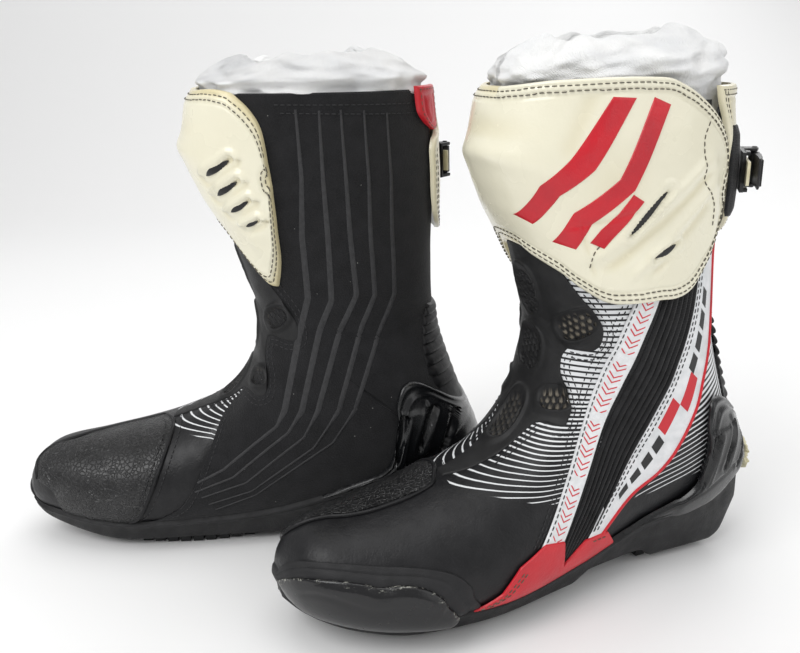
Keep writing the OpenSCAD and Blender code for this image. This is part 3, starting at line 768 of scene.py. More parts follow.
def upper(side, m):
    """Leather, suede and bellows of one boot. The forepart wraps the toes and climbs the instep; the rear
    quarter and the suede side reach from the sole to the rim; bellows lie over the instep and the tendon."""
    wall = bpy.context.scene.boot_look.leather * 1000
    s, u = row_grid([[0, -128], [4, -128], [5.2, -128], [5.8, -110], [6.3, -66], [6.8, -52], [8, -50],
                     [10, -50], [11.6, -30]],
                    [[0, 128], [5.2, 128], [5.8, 122], [6.3, 106], [7, 94], [8, 90], [9, 90], [10, 94],
                     [11, 100], [11.6, 100]], 0.02, 11.6, 160, 90)
    p = skin(s, u, 0)
    f, z = -p[..., 1], p[..., 2]
    fold = bell((s - 4.6) / 0.9) * np.cos(np.radians(u) / 2) ** 2
    out = 0.35 * fold * waves(s * 9, u / 22, 3) + 0.25 * bell((s - 6.5) / 1.6) * waves(s * 4, u / 14, 5)
    out = (out - 1.7 * smooth(np.minimum(u - curve(BELLOWS_LOW, s), curve(BELLOWS_HIGH, s) - u) / 4 - 0.6)
           * (s > 4.2) - 1.9 * smooth((curve(SUEDE_FRONT, s) - u) / 3 - 0.5) * (s > 4.25))
    pins = np.minimum(np.minimum((s - 4.12) * 26, z - 70 - 6 * smooth((f - 60) / 45)), 400)
    shell(side, "forepart", s, u, out, wall, m["pinned"], "ankle", ("vamp", "quarter_lateral"),
          edge=0.8, extra={"pins": pins, "line": z - 0.42 * np.maximum(122 - z, 0)})

    s, u = row_grid([[5.6, 106], [6.2, 94], [7, 84], [8, 76], [9, 72], [10, 76], [11, 84], [11.5, 60],
                     [11.9, 4], [13.86, 3]], [[5.6, 127], [8.7, 127], [8.86, 178], [9, 181], [13.86, 181]],
                    5.6, 13.86, 140, 76)
    s = 5.6 + (s - 5.6) * (1 - 0.055 * bell((u - 112) / 34))
    p = skin(s, u, 0)
    f, z = -p[..., 1], p[..., 2]
    out = -0.45 + 0.3 * bell((z - 150) / 60) * waves(z / 14, u / 30, 8) * smooth((u - 120) / 20)
    back = np.minimum(np.minimum(f + 56, z - 62 + (f + 10) * 0.25), 205 - z)
    line = z * math.cos(math.radians(20)) + f * math.sin(math.radians(20))
    shell(side, "rear_quarter", s, u, out, wall, m["pinned"], "ankle", ("lateral_panel", "side_flex"),
          edge=0.8, extra={"pins": back, "line": line})

    s, u = row_grid([[4.25, -127], [8.7, -127], [8.86, -178], [9, -181.5], [13.86, -181.5]],
                    SUEDE_FRONT, 4.25, 13.86, 180, 80)
    shell(side, "suede_side", s, u, creases(s, u), wall, m["suede"], "ankle",
          ("medial_panel", "quarter_medial"), edge=0.8)

    # Raised print down the suede: height and forward distance of each line's knots
    lines = (((280, 18), (241, 17), (207, 19), (169, 18), (148, 24), (97, 37), (86, 43), (58, 79), (50, 96)),
             ((279, 5), (241, 5), (207, 4), (167, 4), (149, 12), (97, 26), (82, 36), (53, 73), (44, 98)),
             ((279, -7), (241, -8), (206, -9), (170, -11), (148, 0), (97, 16), (79, 26), (49, 65), (40, 94)),
             ((278, -20), (240, -21), (204, -21), (169, -22), (152, -14), (97, 3), (72, 20), (43, 62),
              (35, 90)),
             ((276, -33), (239, -34), (203, -34), (168, -34), (151, -26), (97, -7), (75, 8), (40, 60),
              (31, 86)))
    parts = []
    for k, knots in enumerate(lines):
        path = resampled([(f, z) for z, f in knots], 150, False)
        way = unit(np.gradient(path, axis=0))
        high = path[:, 1]
        half = np.interp(high, [40, 60, 88, 97, 150, 210, 280], [0.5, 0.8, 1.0, 2.0, 2.0, 1.7, 0.7])
        half = half * (1 - 0.08 * k)
        square = np.stack([-way[:, 1], way[:, 0]], 1)
        edges = path[:, None] + half[:, None, None] * np.array([-1, -0.5, 0.5,
                                                                1])[None, :, None] * square[:, None]
        gs, gu = on_side(edges[..., 0], edges[..., 1], -1)
        base = creases(gs, gu)
        parts.append(solid(skin(gs, gu, base + np.array([0.1, 0.34, 0.34, 0.1])), skin(gs, gu, base - 0.4)))
    fit(make(side, "suede_lines", merged(parts), m["suede_print"]), side, "ankle", ())

    s, u = surface_line([(4.45, -108), (4.8, -84), (4.93, -60), (5.05, -34)], 90)
    thread(side, "suede_seam", [(s + 0.12, u - 2, 0.65)], m["thread"], "ankle")
    rim = [(np.full(160, row), np.linspace(first, -176, 160), 0.65) for row, first in ((13.72, -78),
            (13.62, -80))]
    thread(side, "rim_seam", rim, m["thread"], "shaft")


VENTS = (   # middle (s, u), turn in degrees, half-lengths along and across in millimetres, pale mesh behind
    (9.08, -2, 0, 14.0, 9.0, 0), (8.74, 32, 62, 11.5, 7.2, 1), (6.85, -3, 10, 12.0, 10.5, 0),
    (6.25, 27, 72, 9.0, 5.6, 1), (5.35, -3, 0, 15.0, 8.0, 0.25), (8.62, -43, -68, 8.5, 5.6, 0.5),
    (6.3, -37, -60, 6.8, 4.8, 0.6))


def bellows(side, m):
    """Moulded instep bellows with seven meshed windows, each in a rounded frame: distances to the windows'
    edges shape the frames, the sunk floors and the honeycomb. The tendon bellows is a stack of round ribs."""
    s, u = row_grid(BELLOWS_LOW, BELLOWS_HIGH, 4.1, 10.9, 214, 130)
    p = skin(s, u, 0)
    out = 1.1 + 0.7 * bell((s - 7.6) / 0.35) * bell(u / 26) - 0.5 * bell((s - 7.25) / 0.15) * bell(u / 30) \
        - 0.5 * bell((s - 8.05) / 0.15) * bell(u / 30)
    out = out + 0.5 * bell((u - 14 - 4 * (s - 7)) / 5) * smooth((s - 5.6) / 0.4) * smooth((9.8 - s) / 0.5)
    pale = 0 * s
    for ms, mu, turn, la, lc, white in VENTS:
        c = skin(ms, mu, 0)
        es = unit(skin(ms + 0.15, mu, 0) - c)
        n = outward(np.array(ms), np.array(mu))
        eu = np.cross(n, es)
        eu *= np.sign((eu * (skin(ms, mu + 1.0, 0) - c)).sum())
        q = p - c
        a0, b0 = q @ es, q @ eu
        t = math.radians(turn)
        a, b = a0 * math.cos(t) + b0 * math.sin(t), -a0 * math.sin(t) + b0 * math.cos(t)
        near = np.abs(q @ n) < 14
        r = (np.abs(a / la) ** 2.6 + np.abs(b / lc) ** 2.6 + 1e-9) ** (1 / 2.6)
        gap = np.where(near, (r - 1) * min(la, lc) * 1.1, 99)
        wall = hexes(a, b, 4.3)
        out = out + 2.1 * bell((gap - 1.7) / 1.5)
        floor = smooth(-gap / 0.8)
        cell = smooth((wall - 0.45) / 0.55)
        out = np.where(gap < 0.9, out * (1 - floor) + floor * (0.9 - 1.5 * cell), out)
        pale = np.maximum(pale, white * floor * smooth((wall - 0.8) / 0.4))
    shell(side, "instep_bellows", s, u, out, 2.6, m["mesh"], "ankle", ("front_flex",), edge=1.0,
          extra={"pale": pale})
    k = np.linspace(4.7, 10.15, 300)
    rows = [(*shifted(k, curve(bound, k), mm), off) for bound, sign, off in ((BELLOWS_HIGH, 1, 0.15),
            (BELLOWS_LOW, -1, 0.7)) for mm in (-2.2 * sign, -5.2 * sign)]
    thread(side, "instep_seam", rows, m["thread"], "ankle")

    s, u = row_grid([[9.3, 138], [9.8, 134], [10.4, 138], [11, 150], [11.3, 158]],
                    [[9.3, 222], [9.8, 228], [10.4, 223], [11, 212], [11.3, 204]], 9.3, 11.3, 170, 64)
    z = skin(s, u, 0)[..., 2]
    pitch = 4.2 + 4.2 * np.clip((168 - z) / 70, 0, 1)
    turns = -np.log(pitch) * 70 / 4.2
    across = smooth((u - 136) / 9) * smooth((226 - u) / 9)
    ribs = 2.6 * np.abs(np.sin(np.pi * turns + 0.25 * np.sin(u / 13))) ** 0.7
    out = 0.9 + across * ribs + 0.15 * waves(z / 3, u / 9, 21)
    shell(side, "tendon_bellows", s, u, out, 2.2, m["leather"], "ankle", ("rear_flex",), edge=0.9)


# ------------------------------------------------------------------ armour


def armour_rise(s, u):
    """Height of the shin armour's moulded relief over its base, in millimetres: sums of ridges and hollows
    that are bell curves about lines of the side view, and slots sunk along short lines."""
    p = skin(s, u, 0)
    f, z = -p[..., 1], p[..., 2]
    lat, med = smooth(u / 14), smooth(-u / 14)

    def ridge(f0, z0, f1, z1, wide, fade=6.0):
        """Bell curve across a segment of the side view, fading past both its ends."""
        dx, dz = f1 - f0, z1 - z0
        t = ((f - f0) * dx + (z - z0) * dz) / (dx * dx + dz * dz)
        far = np.abs((f - f0) * dz - (z - z0) * dx) / math.hypot(dx, dz)
        over = np.maximum(np.maximum(-t, t - 1), 0) * math.hypot(dx, dz)
        return bell(far / wide) * bell(over / fade)

    h = 2.2 * bell((z - 257 + 0.02 * u * u / 6) / 6) * bell(u / 34) - 0.9 * bell((z - 270) / 7) * bell(u / 30)
    h = h + lat * (0.9 * ridge(52, 262, 40, 286, 4) - 0.8 * ridge(60, 262, 50, 288, 4)
                   + 1.3 * ridge(-8, 248, 44, 206, 3.2) - 1.2 * ridge(-14, 243, 36, 202, 3.0)
                   + 1.2 * ridge(-12, 232, 24, 198, 2.6) - 1.0 * ridge(-14, 226, 12, 199, 2.6)
                   - 0.9 * ridge(52, 222, 46, 200, 1.2) - 0.7 * ridge(30, 228, 52, 222, 1.2)
                   + 0.8 * bell((f + 22 - (z - 220) * 0.15) / 4) * smooth((262 - z) / 10)
                   - 0.8 * bell((f - 40) / 15) * bell((z - 244) / 13)
                   + 0.5 * bell((f - 4) / 9) * bell((z - 268) / 14))
    vent = 0 * s
    for *ends, wide in ((30, 216, 11, 239, 2.6), (16, 203, 2, 210, 1.9)):
        t, far = segment(f, z, *ends)
        inside = smooth((wide * (0.35 + 0.65 * np.sin(np.pi * (0.1 + 0.8 * t))) - far) / 1.6) * (u > 10)
        vent = np.maximum(vent, inside)
        h = h + 1.0 * bell((far - wide - 1.2) / 1.4) * (u > 10)
    slots = [((12.96, -60), (12.55, -42), 2.6), ((12.62, -62), (12.18, -45), 2.4), ((12.30, -65), (11.9, -51),
            2.1), ((11.95, -67), (11.68, -58), 1.5)]
    for (s0, u0), (s1, u1), wide in slots:
        a = skin(s0, u0, 0)
        way = skin(s1, u1, 0) - a
        long = np.linalg.norm(way)
        t = np.clip((p - a) @ way / long**2, 0, 1)
        far = np.linalg.norm(p - a - t[..., None] * way, axis=-1)
        below = np.sign(z - (a[2] + t * way[2]))
        inside = smooth((wide * (0.3 + 0.7 * (1 - t)) - far) / 1.5) * (u < -10)
        vent = np.maximum(vent, inside)
        h = h + med * (1.5 * bell((far * below - wide - 1.6) / 2.0)
                       - 0.9 * bell((far * below + wide + 2.0) / 2.2)) * bell(np.maximum(far - 9, 0) / 4)
    h = h * (1 - vent) - 1.4 * vent
    h = h + med * (0.7 * bell((u + 46 + (13 - s) * 7) / 6) * smooth((s - 10.6) / 0.6)
                   * smooth((13.0 - s) / 0.5))
    return h


ARMOUR_LOW = [[-76.5, 12.62], [-75.5, 12.3], [-74, 11.95], [-70, 11.28], [-66, 10.88], [-61, 10.48],
              [-57, 10.2], [-51, 10.08], [-45, 10.2], [-36, 10.52], [-25, 10.86], [-14, 10.92], [-4, 10.9],
              [6, 10.84], [14, 10.68], [24, 10.58], [32, 10.52], [42, 10.36], [52, 10.32], [60, 10.42],
              [66, 10.56], [76, 10.8], [86, 11.04], [103, 11.46], [111, 11.76], [118, 12.04], [123, 12.42],
              [125, 12.72]]
ARMOUR_HIGH = [[-76.5, 12.8], [-75.5, 13.15], [-73, 13.42], [-68, 13.62], [-62, 13.76], [-54, 13.88],
               [-40, 13.92], [-20, 13.9], [-8, 13.9], [4, 13.9], [20, 13.93], [40, 13.98], [70, 14.0],
               [88, 13.98], [97, 13.88], [106, 13.74], [114, 13.6], [120, 13.46], [123.5, 13.3], [125, 13.0]]


def armour(side, m):
    """Ivory shin armour: one moulded skin over both sides of the ridge, with a rolled rim, a stitched border,
    facets and vents. It spans the ridge where the flap opens."""
    s, u = column_grid(ARMOUR_LOW, ARMOUR_HIGH, -76.5, 125.0, 144, 212)
    h = armour_rise(s, u)
    d, _, _ = border(skin(s, u, 0))
    h = h * smooth((d - 6.5) / 3.0) + 0.55 * bell((d - 3.4) / 2.6) - 0.4 * bell((d - 7.2) / 0.9)
    h = h - 0.3 * bell((d - 2.3) / 0.7) - 0.3 * bell((d - 5.4) / 0.7)
    thick = bpy.context.scene.boot_look.armour * 1000
    base = 4.5 + thick
    fade = 1 - 0.45 * smooth((8 - d) / 8) * (u < 8)
    shell(side, "shin_armour", s, u, base * fade + h, thick + 0.4, m["ivory"], "ridge",
          ("shin_plate", "shin_flap"), edge=1.3, sharp=60, hollow=1.6 * smooth((d - 3) / 3))

    def on_rim(mm):
        """Lines mm inside the armour's edge, lifted onto its rolled rim."""
        rows = []
        for a, b in edge_lines(s, u, mm):
            f = 1 - 0.45 * smooth((8 - mm) / 8) * (b < 8)
            rows.append((a, b, base * f + 0.45))
        return rows

    thread(side, "armour_seam", on_rim(2.6) + on_rim(5.6), m["dark_thread"], "ridge")
    k = [side_line([(47, 198), (46, 207), (38, 218), (30, 228)], 50),
         side_line([(-13, 272), (-9, 262), (-13, 240), (-20, 228), (-21, 216)], 70)]
    thread(side, "armour_dart", [(a, b, base + armour_rise(a, b) + 0.1) for a, b in k], m["dark_thread"],
           "shin_flap")

    # Generic flashes: kinked bars that rise towards the back, let in flush with the moulding
    bars = ((((73, 225), (70, 243), (60, 257), (42, 286)), ((68, 221), (62.5, 238), (50, 251), (31, 285))),
            (((61, 212), (56, 229), (38, 246), (22, 285)), ((53, 209), (48, 223), (30, 240), (13, 281))),
            (((48, 213), (44, 220), (37, 228), (30.5, 238)), ((42, 210), (38.5, 215), (32, 223),
                                                              (24.5, 234))))
    parts = []
    for a, b in bars:
        gs, gu = side_grid(a, b, 90, 16, 1, False)
        gd, _, _ = border(skin(gs, gu, 0))
        rise = base + armour_rise(gs, gu)
        parts.append(solid(skin(gs, gu, rise + 0.55 - rolled(gd, 0.5)), skin(gs, gu, rise - 0.6)))
    fit(make(side, "armour_flashes", merged(parts), m["red"]), side, "shin_flap", ())

    # Leaf-shaped openings at the bottom of the moulded hollows, dark inside
    t = np.linspace(0, 1, 40)
    leaves = [(*on_side(np.array([f0, f1]), np.array([z0, z1])), wide)
              for f0, z0, f1, z1, wide in ((29, 217, 12, 238, 2.2), (15, 203.6, 3, 209.5, 1.5))]
    leaves += [(np.array([a, c]), np.array([b, d]), w) for (a, b), (c, d), w in (((12.94, -59), (12.57, -43),
            2.0), ((12.60, -61), (12.20, -46), 1.8), ((12.28, -64), (11.92, -52), 1.6),
            ((11.94, -66.3), (11.70, -58.6), 1.1))]
    parts = []
    for es, eu, wide in leaves:
        gs, gu = es[0] + (es[1] - es[0]) * t, eu[0] + (eu[1] - eu[0]) * t
        half = wide * np.sin(np.pi * t) ** 0.7
        gs, gu = (np.stack(k, 1) for k in zip(shifted(gs, gu, -half), (gs, gu), shifted(gs, gu, half)))
        rise = (base + armour_rise(gs[:, 1], gu[:, 1]))[:, None] + 1.15
        parts.append(solid(skin(gs, gu, rise + np.array([-0.1, 0.1, -0.1])), skin(gs, gu, rise - 1.0)))
    fit(make(side, "armour_vents", merged(parts), m["nylon"]), side, "ridge", ())


def calf(side, m):
    """Calf armour: an ivory plate that wraps round behind the flap, and a red cap beside it."""
    s, u = row_grid([[12.3, 166], [12.42, 154], [12.55, 145], [12.7, 137], [12.9, 131], [13.2, 129.5],
                     [13.5, 126], [13.7, 121], [13.86, 119]],
                    [[12.3, 180], [12.42, 192], [12.55, 198], [12.9, 202], [13.2, 202], [13.34, 198],
                     [13.42, 186], [13.5, 183], [13.86, 183]], 12.3, 13.86, 80, 80)
    d, _, _ = border(skin(s, u, 0))
    z = skin(s, u, 0)[..., 2]
    out = (5.6 + 0.5 * bell((d - 3.4) / 2.4) - 0.4 * bell((d - 7) / 0.9) + 0.7 * bell((z - 262) / 9)
           - 0.9 * bell((z - 243) / 13) * bell((u - 150) / 18))
    shell(side, "calf_plate", s, u, out, 2.6, m["ivory"], "shaft", ("calf_plate",), edge=1.2)
    rows = [(a, b, 5.95) for a, b in edge_lines(s, u, 2.6) + edge_lines(s, u, 5.4)]
    thread(side, "calf_seam", rows, m["dark_thread"], "shaft")
    s, u = row_grid([[13.44, 187], [13.5, 184.5], [13.9, 184.5]],
                    [[13.44, 196], [13.52, 206], [13.65, 212], [13.9, 213]], 13.44, 13.9, 36, 40)
    d, _, _ = border(skin(s, u, 0))
    out = 5.4 + 0.5 * bell((d - 2.5) / 2) - 0.4 * bell((d - 5.6) / 0.8) + 0.5 * bell((d - 9) / 3)
    shell(side, "calf_cap", s, u, out, 2.4, m["red"], "shaft", ("calf_cap",), edge=1.0)
    thread(side, "cap_seam", [(a, b, 5.7) for a, b in edge_lines(s, u, 2.2)], m["dark_thread"], "shaft")


# ------------------------------------------------------------------ closure

STRIP_FRONT = [(10, 214), (16, 196), (24, 177), (31, 153), (40, 122), (54, 92), (68, 70), (83, 49)]
STRIP_REAR = [(-7, 214), (0, 198), (8, 179), (18, 152), (28, 122), (41, 92), (53, 70), (66, 48)]
STRETCH_REAR = [(-27, 214), (-26, 198), (-22, 178), (-12, 150), (3, 118), (15, 92), (31, 63), (51, 38),
                (66, 27)]
STRETCH_FRONT = [(-6, 214), (1, 198), (9, 179), (19, 152), (29, 122), (42, 92), (54, 70), (67, 47), (72, 27)]
TRIM_REAR = [(-38, 214), (-40, 198), (-41, 180), (-36, 152), (-26, 124), (-16, 99), (-1, 74), (16, 62),
             (33, 47), (47, 34)]
TRIM_FRONT = [(-26, 214), (-25, 198), (-21, 178), (-11, 150), (4, 118), (16, 92), (27, 72), (36, 60),
              (46, 46), (54, 36)]


def closure(side, m):
    """Closure of the outer side: a printed strip, a stretch panel of lengthwise ribs over the zip, a white
    trim with a red bead, the red patch at their foot, and the zip's tape and teeth."""
    s, u = side_grid(STRIP_FRONT, STRIP_REAR, 180, 22)
    p = skin(s, u, 0)
    spine = p[:, 11]
    run = run_length(spine)
    way = unit(np.gradient(spine, axis=0))
    off = p - spine[:, None]
    lag = (off * way[:, None]).sum(-1)
    mid = np.sign(np.arange(22) - 11)[None] * np.linalg.norm(off - lag[..., None] * way[:, None], axis=-1)
    shell(side, "printed_strip", s, u, 1.5 + 0 * s, 1.1, m["chevrons"], "ankle", (), edge=0.6,
          extra={"middle": mid, "cloth": np.stack([run[:, None] + lag, mid, 0 * mid], -1)})
    rows = [(*side_line([(f + d, z) for f, z in STRIP_FRONT[1:]], 260), off)
            for d, off in ((2.6, 0.15), (5.4, 0.15), (-1.6, 1.62))]
    thread(side, "strip_seam", rows, m["thread"], "ankle")

    s, u = side_grid(STRETCH_FRONT, STRETCH_REAR, 150, 96)
    _, along, across = border(skin(s, u, 0))
    wide = across[:, -1:]
    share = across / np.maximum(wide, 1)
    ribs = np.abs(np.sin(np.pi * 8 * share + 0.35 * np.sin(along / 17) * np.sin(np.pi * share)))
    fade = smooth(wide / 8) * (0.3 + 0.7 * smooth((skin(s, u, 0)[..., 2] - 34) / 22))
    out = (0.35 + (1.5 * ribs ** 0.8 - 1.0 * bell((share - 0.06) / 0.05)) * fade
           + 0.25 * waves(along / 12, across / 5, 31))
    shell(side, "stretch_panel", s, u, out, 1.0, m["stretch"], "ankle", ("stretch_panel",),
          edge=0.5)

    s, u = side_grid(TRIM_FRONT, TRIM_REAR, 170, 20)
    shell(side, "white_trim", s, u, 1.35 + 0 * s, 1.0, m["white"], "ankle", (), edge=0.5)
    a, b = side_line(TRIM_REAR, 260)
    fit(make(side, "trim_bead", tube(skin(a, b, 1.35), 1.0), m["red"]), side, "ankle", ())
    rows = [(*side_line([(f - d, z) for f, z in TRIM_FRONT[1:-1]], 260), 1.42) for d in (1.6, 4.2)]
    thread(side, "trim_seam", rows, m["thread"], "ankle")

    # Generic slanted dashes printed along the trim: shares of its length and of its width
    dashes = {"ink": [(t, t + 0.045, 0.38, 0.6) for t in (0.17, 0.23, 0.29, 0.35)]
              + [(t, t + 0.04, 0.36, 0.58) for t in (0.6, 0.655, 0.71, 0.765)],
              "red_ink": [(0.405, 0.5, 0.5, 0.78), (0.485, 0.58, 0.24, 0.5)]}
    edge = [resampled(e, 300) for e in (TRIM_FRONT, TRIM_REAR)]
    at = [lambda t, e=e: np.stack([np.interp(t, np.linspace(0, 1, 300), e[:, k]) for k in (0, 1)], -1)
          for e in edge]
    for kind, spots in dashes.items():
        parts = []
        for t0, t1, c0, c1 in spots:
            c = np.linspace(c0, c1, 6)[None]
            t = np.linspace(t0, t1, 24)[:, None] + 0.016 * (c - c0) / (c1 - c0)
            g = at[0](t) + (at[1](t) - at[0](t)) * c[..., None]
            gs, gu = on_side(g[..., 0], g[..., 1])
            parts.append(solid(skin(gs, gu, 1.47), skin(gs, gu, 1.1)))
        fit(make(side, "trim_" + kind, merged(parts), m[kind]), side, "ankle", ())

    foot = [(126, 19), (114, 20), (100, 21), (86, 22), (72, 22.5), (58, 24), (44, 26), (27, 28)]
    top = [(126, 21), (108, 31), (97, 44), (80, 52), (66, 49), (71, 31), (50, 44), (33, 44), (26, 34)]
    low, high = resampled(foot, 130), resampled(top, 130, False)
    low = np.stack([np.interp(high[:, 0], low[::-1, 0], low[::-1, k]) for k in (0, 1)], -1)
    g = low[:, None] + (high - low)[:, None] * eased(22)[None, :, None]
    s, u = on_side(g[..., 0], g[..., 1])
    u = np.minimum(u, 121)
    shell(side, "side_patch", s, u, 2.5 + 0 * s, 1.3, m["red"], "foot", ("side_patch",), edge=0.6,
          sharp=50)
    folds = ([(120, 24), (106, 30), (94.5, 41)], [(116, 24), (103, 30), (91.5, 41)], [(47, 42), (33, 42)])
    rows = [(*side_line(k, 90, 1, False), 2.6) for k in folds]
    thread(side, "patch_seam", rows, m["dark_thread"], "foot")

    s, u = line_grid([(11.6, 107), (12.4, 109), (13.2, 109), (13.72, 108)],
                     [(11.6, 121), (12.4, 119), (13.2, 119), (13.72, 120)], 120, 20)
    shell(side, "zip_tape", s, u, 0.75 + 0 * s, 0.5, m["tape"], "shaft", ("zip_chain",), edge=0.2)
    k = np.linspace(12.0, 13.7, 70)
    parts = []
    for sign in (-1, 1):
        c, n = skin(k, 114 + sign * 1.3, 0.95), outward(k, 114 + sign * 1.3)
        for j in range(len(k)):
            b = np.cross(n[j], [0, 0, 1.0])
            parts.append(tube(c[j] + np.linspace(-1.1, 1.1, 3)[:, None] * b, 0.42, 4))
    fit(make(side, "zip_teeth", merged(parts), m["nylon"], sharp=60), side, "shaft", ())


def block(profile, z0, z1, r):
    """Rounded bar: a closed outline carried along Z, drawn in over a quarter round of radius r at both
    ends."""
    p = np.array(profile, float)
    fine = np.concatenate([p + (np.roll(p, -1, 0) - p) * t for t in (0, 0.12, 0.5, 0.88)], 1).reshape(-1, 2)
    mid = fine.mean(0)
    size = np.abs(fine - mid).max()
    rings = []
    for z, k in ((z0, 0.02), (z0, 1 - r / size), (z0 + 0.3 * r, 1 - 0.3 * r / size), (z0 + r, 1.0),
                 (z1 - r, 1.0), (z1 - 0.3 * r, 1 - 0.3 * r / size), (z1, 1 - r / size), (z1, 0.02)):
        rings.append(np.column_stack([mid + (fine - mid) * k, np.full(len(fine), z)]))
    return capped(np.stack(rings))


def buckle(side, m):
    """Ratchet buckle on the calf: a padded patch, a base with two ears, a ribbed lever on its pin and a
    toothed strap. Outlines are drawn in the buckle's own plane, out and back, and carried up its height."""
    bs, bu, bo = BUCKLE
    at = skin(bs, bu, bo)
    du = skin(bs, bu + 2, 0) - skin(bs, bu - 2, 0)
    turn = math.atan2(du[1], du[0]) - math.pi / 2
    out, back = np.array([math.cos(turn), math.sin(turn), 0]), np.array([-math.sin(turn), math.cos(turn), 0])
    to = lambda shape: (at + shape[0] @ np.stack([out, back, [0, 0, 1.0]]), shape[1])

    s, u = row_grid([[12.52, 134], [12.6, 131], [13.4, 130.5], [13.47, 134]],
                    [[12.52, 160], [12.6, 164], [13.4, 164], [13.47, 160]], 12.52, 13.47, 50, 40)
    d, _, _ = border(skin(s, u, 0))
    pad = shell(side, "strap_pad", s, u, 7.0 + 1.2 * smooth(d / 6), 1.6, m["stretch"], "shaft",
                ("strap_pad",), edge=1.2)

    base = [block([(0.1, -15), (2.1, -14.2), (2.3, 13.5), (1.4, 15.2), (0.1, 15.2)], -11, 11, 0.7)]
    for z in (-11, 9):
        base.append(block([(1.6, 4.5), (5.5, 5.2), (9.6, 6.6), (10.6, 10), (9.6, 13.6), (6, 14.2),
                           (1.6, 14.6)], z, z + 2, 0.5))
        base.append(block([(1.6, -13), (4.4, -12.2), (4.6, -4), (1.6, -2)], z, z + 2, 0.5))
    fit(make(side, "buckle_base", merged([to(b) for b in base]), m["nylon"]), side, "shaft", ("buckle_base",))
    around = lambda n: np.linspace(0, 2 * np.pi, n, endpoint=False)
    disc = lambda r, n: [(8.4 + r * math.cos(t), 10 + r * math.sin(t)) for t in around(n)]
    lever = [block(disc(3.0, 14), -8.5, 8.5, 0.5), block(disc(1.5, 10), -11.6, 11.6, 0.3),
             block([(7.9, 10), (10.9, 9), (11.3, 0), (10.6, -12), (9.2, -19.6), (8.1, -20), (8.4, -10),
                    (8.2, 0)], -8.4, 8.4, 0.8)]
    for y in (-15.5, -12.5, -9.5, 4.0, 6.5):
        tip = 11.3 if y > -5 else 10.9
        lever.append(block([(9.6, y - 0.7), (tip, y - 0.35), (tip, y + 0.35), (9.6, y + 0.7)], -7.2, 7.2,
                           0.3))
    fit(make(side, "buckle_lever", merged([to(b) for b in lever]), m["nylon"]), side, "buckle_lever",
        ("buckle_lever",))
    strap = [block([(2.5, -20), (4.1, -19.6), (4.1, 17.4), (3.4, 18), (2.5, 18)], -6.4, 6.4, 0.5)]
    for y in np.arange(-14, 16, 3.0):
        strap.append(block([(3.9, y), (4.8, y + 0.1), (4.7, y + 0.5), (3.9, y + 1.3)], -5, 5, 0.2))
    fit(make(side, "ladder_strap", merged([to(b) for b in strap]), m["strap"]), side, "ladder_strap",
        ("ladder_strap",))


# ------------------------------------------------------------------ toe, heel and sole

SOLE_LINE = ((-100, 78), (-90, 60), (-80, 40), (-72, 22), (-64, 7), (-58, 5), (-13, 5), (-5, 11), (34, 11),
             (50, 5), (150, 5), (178, 9), (204, 17), (216, 24))


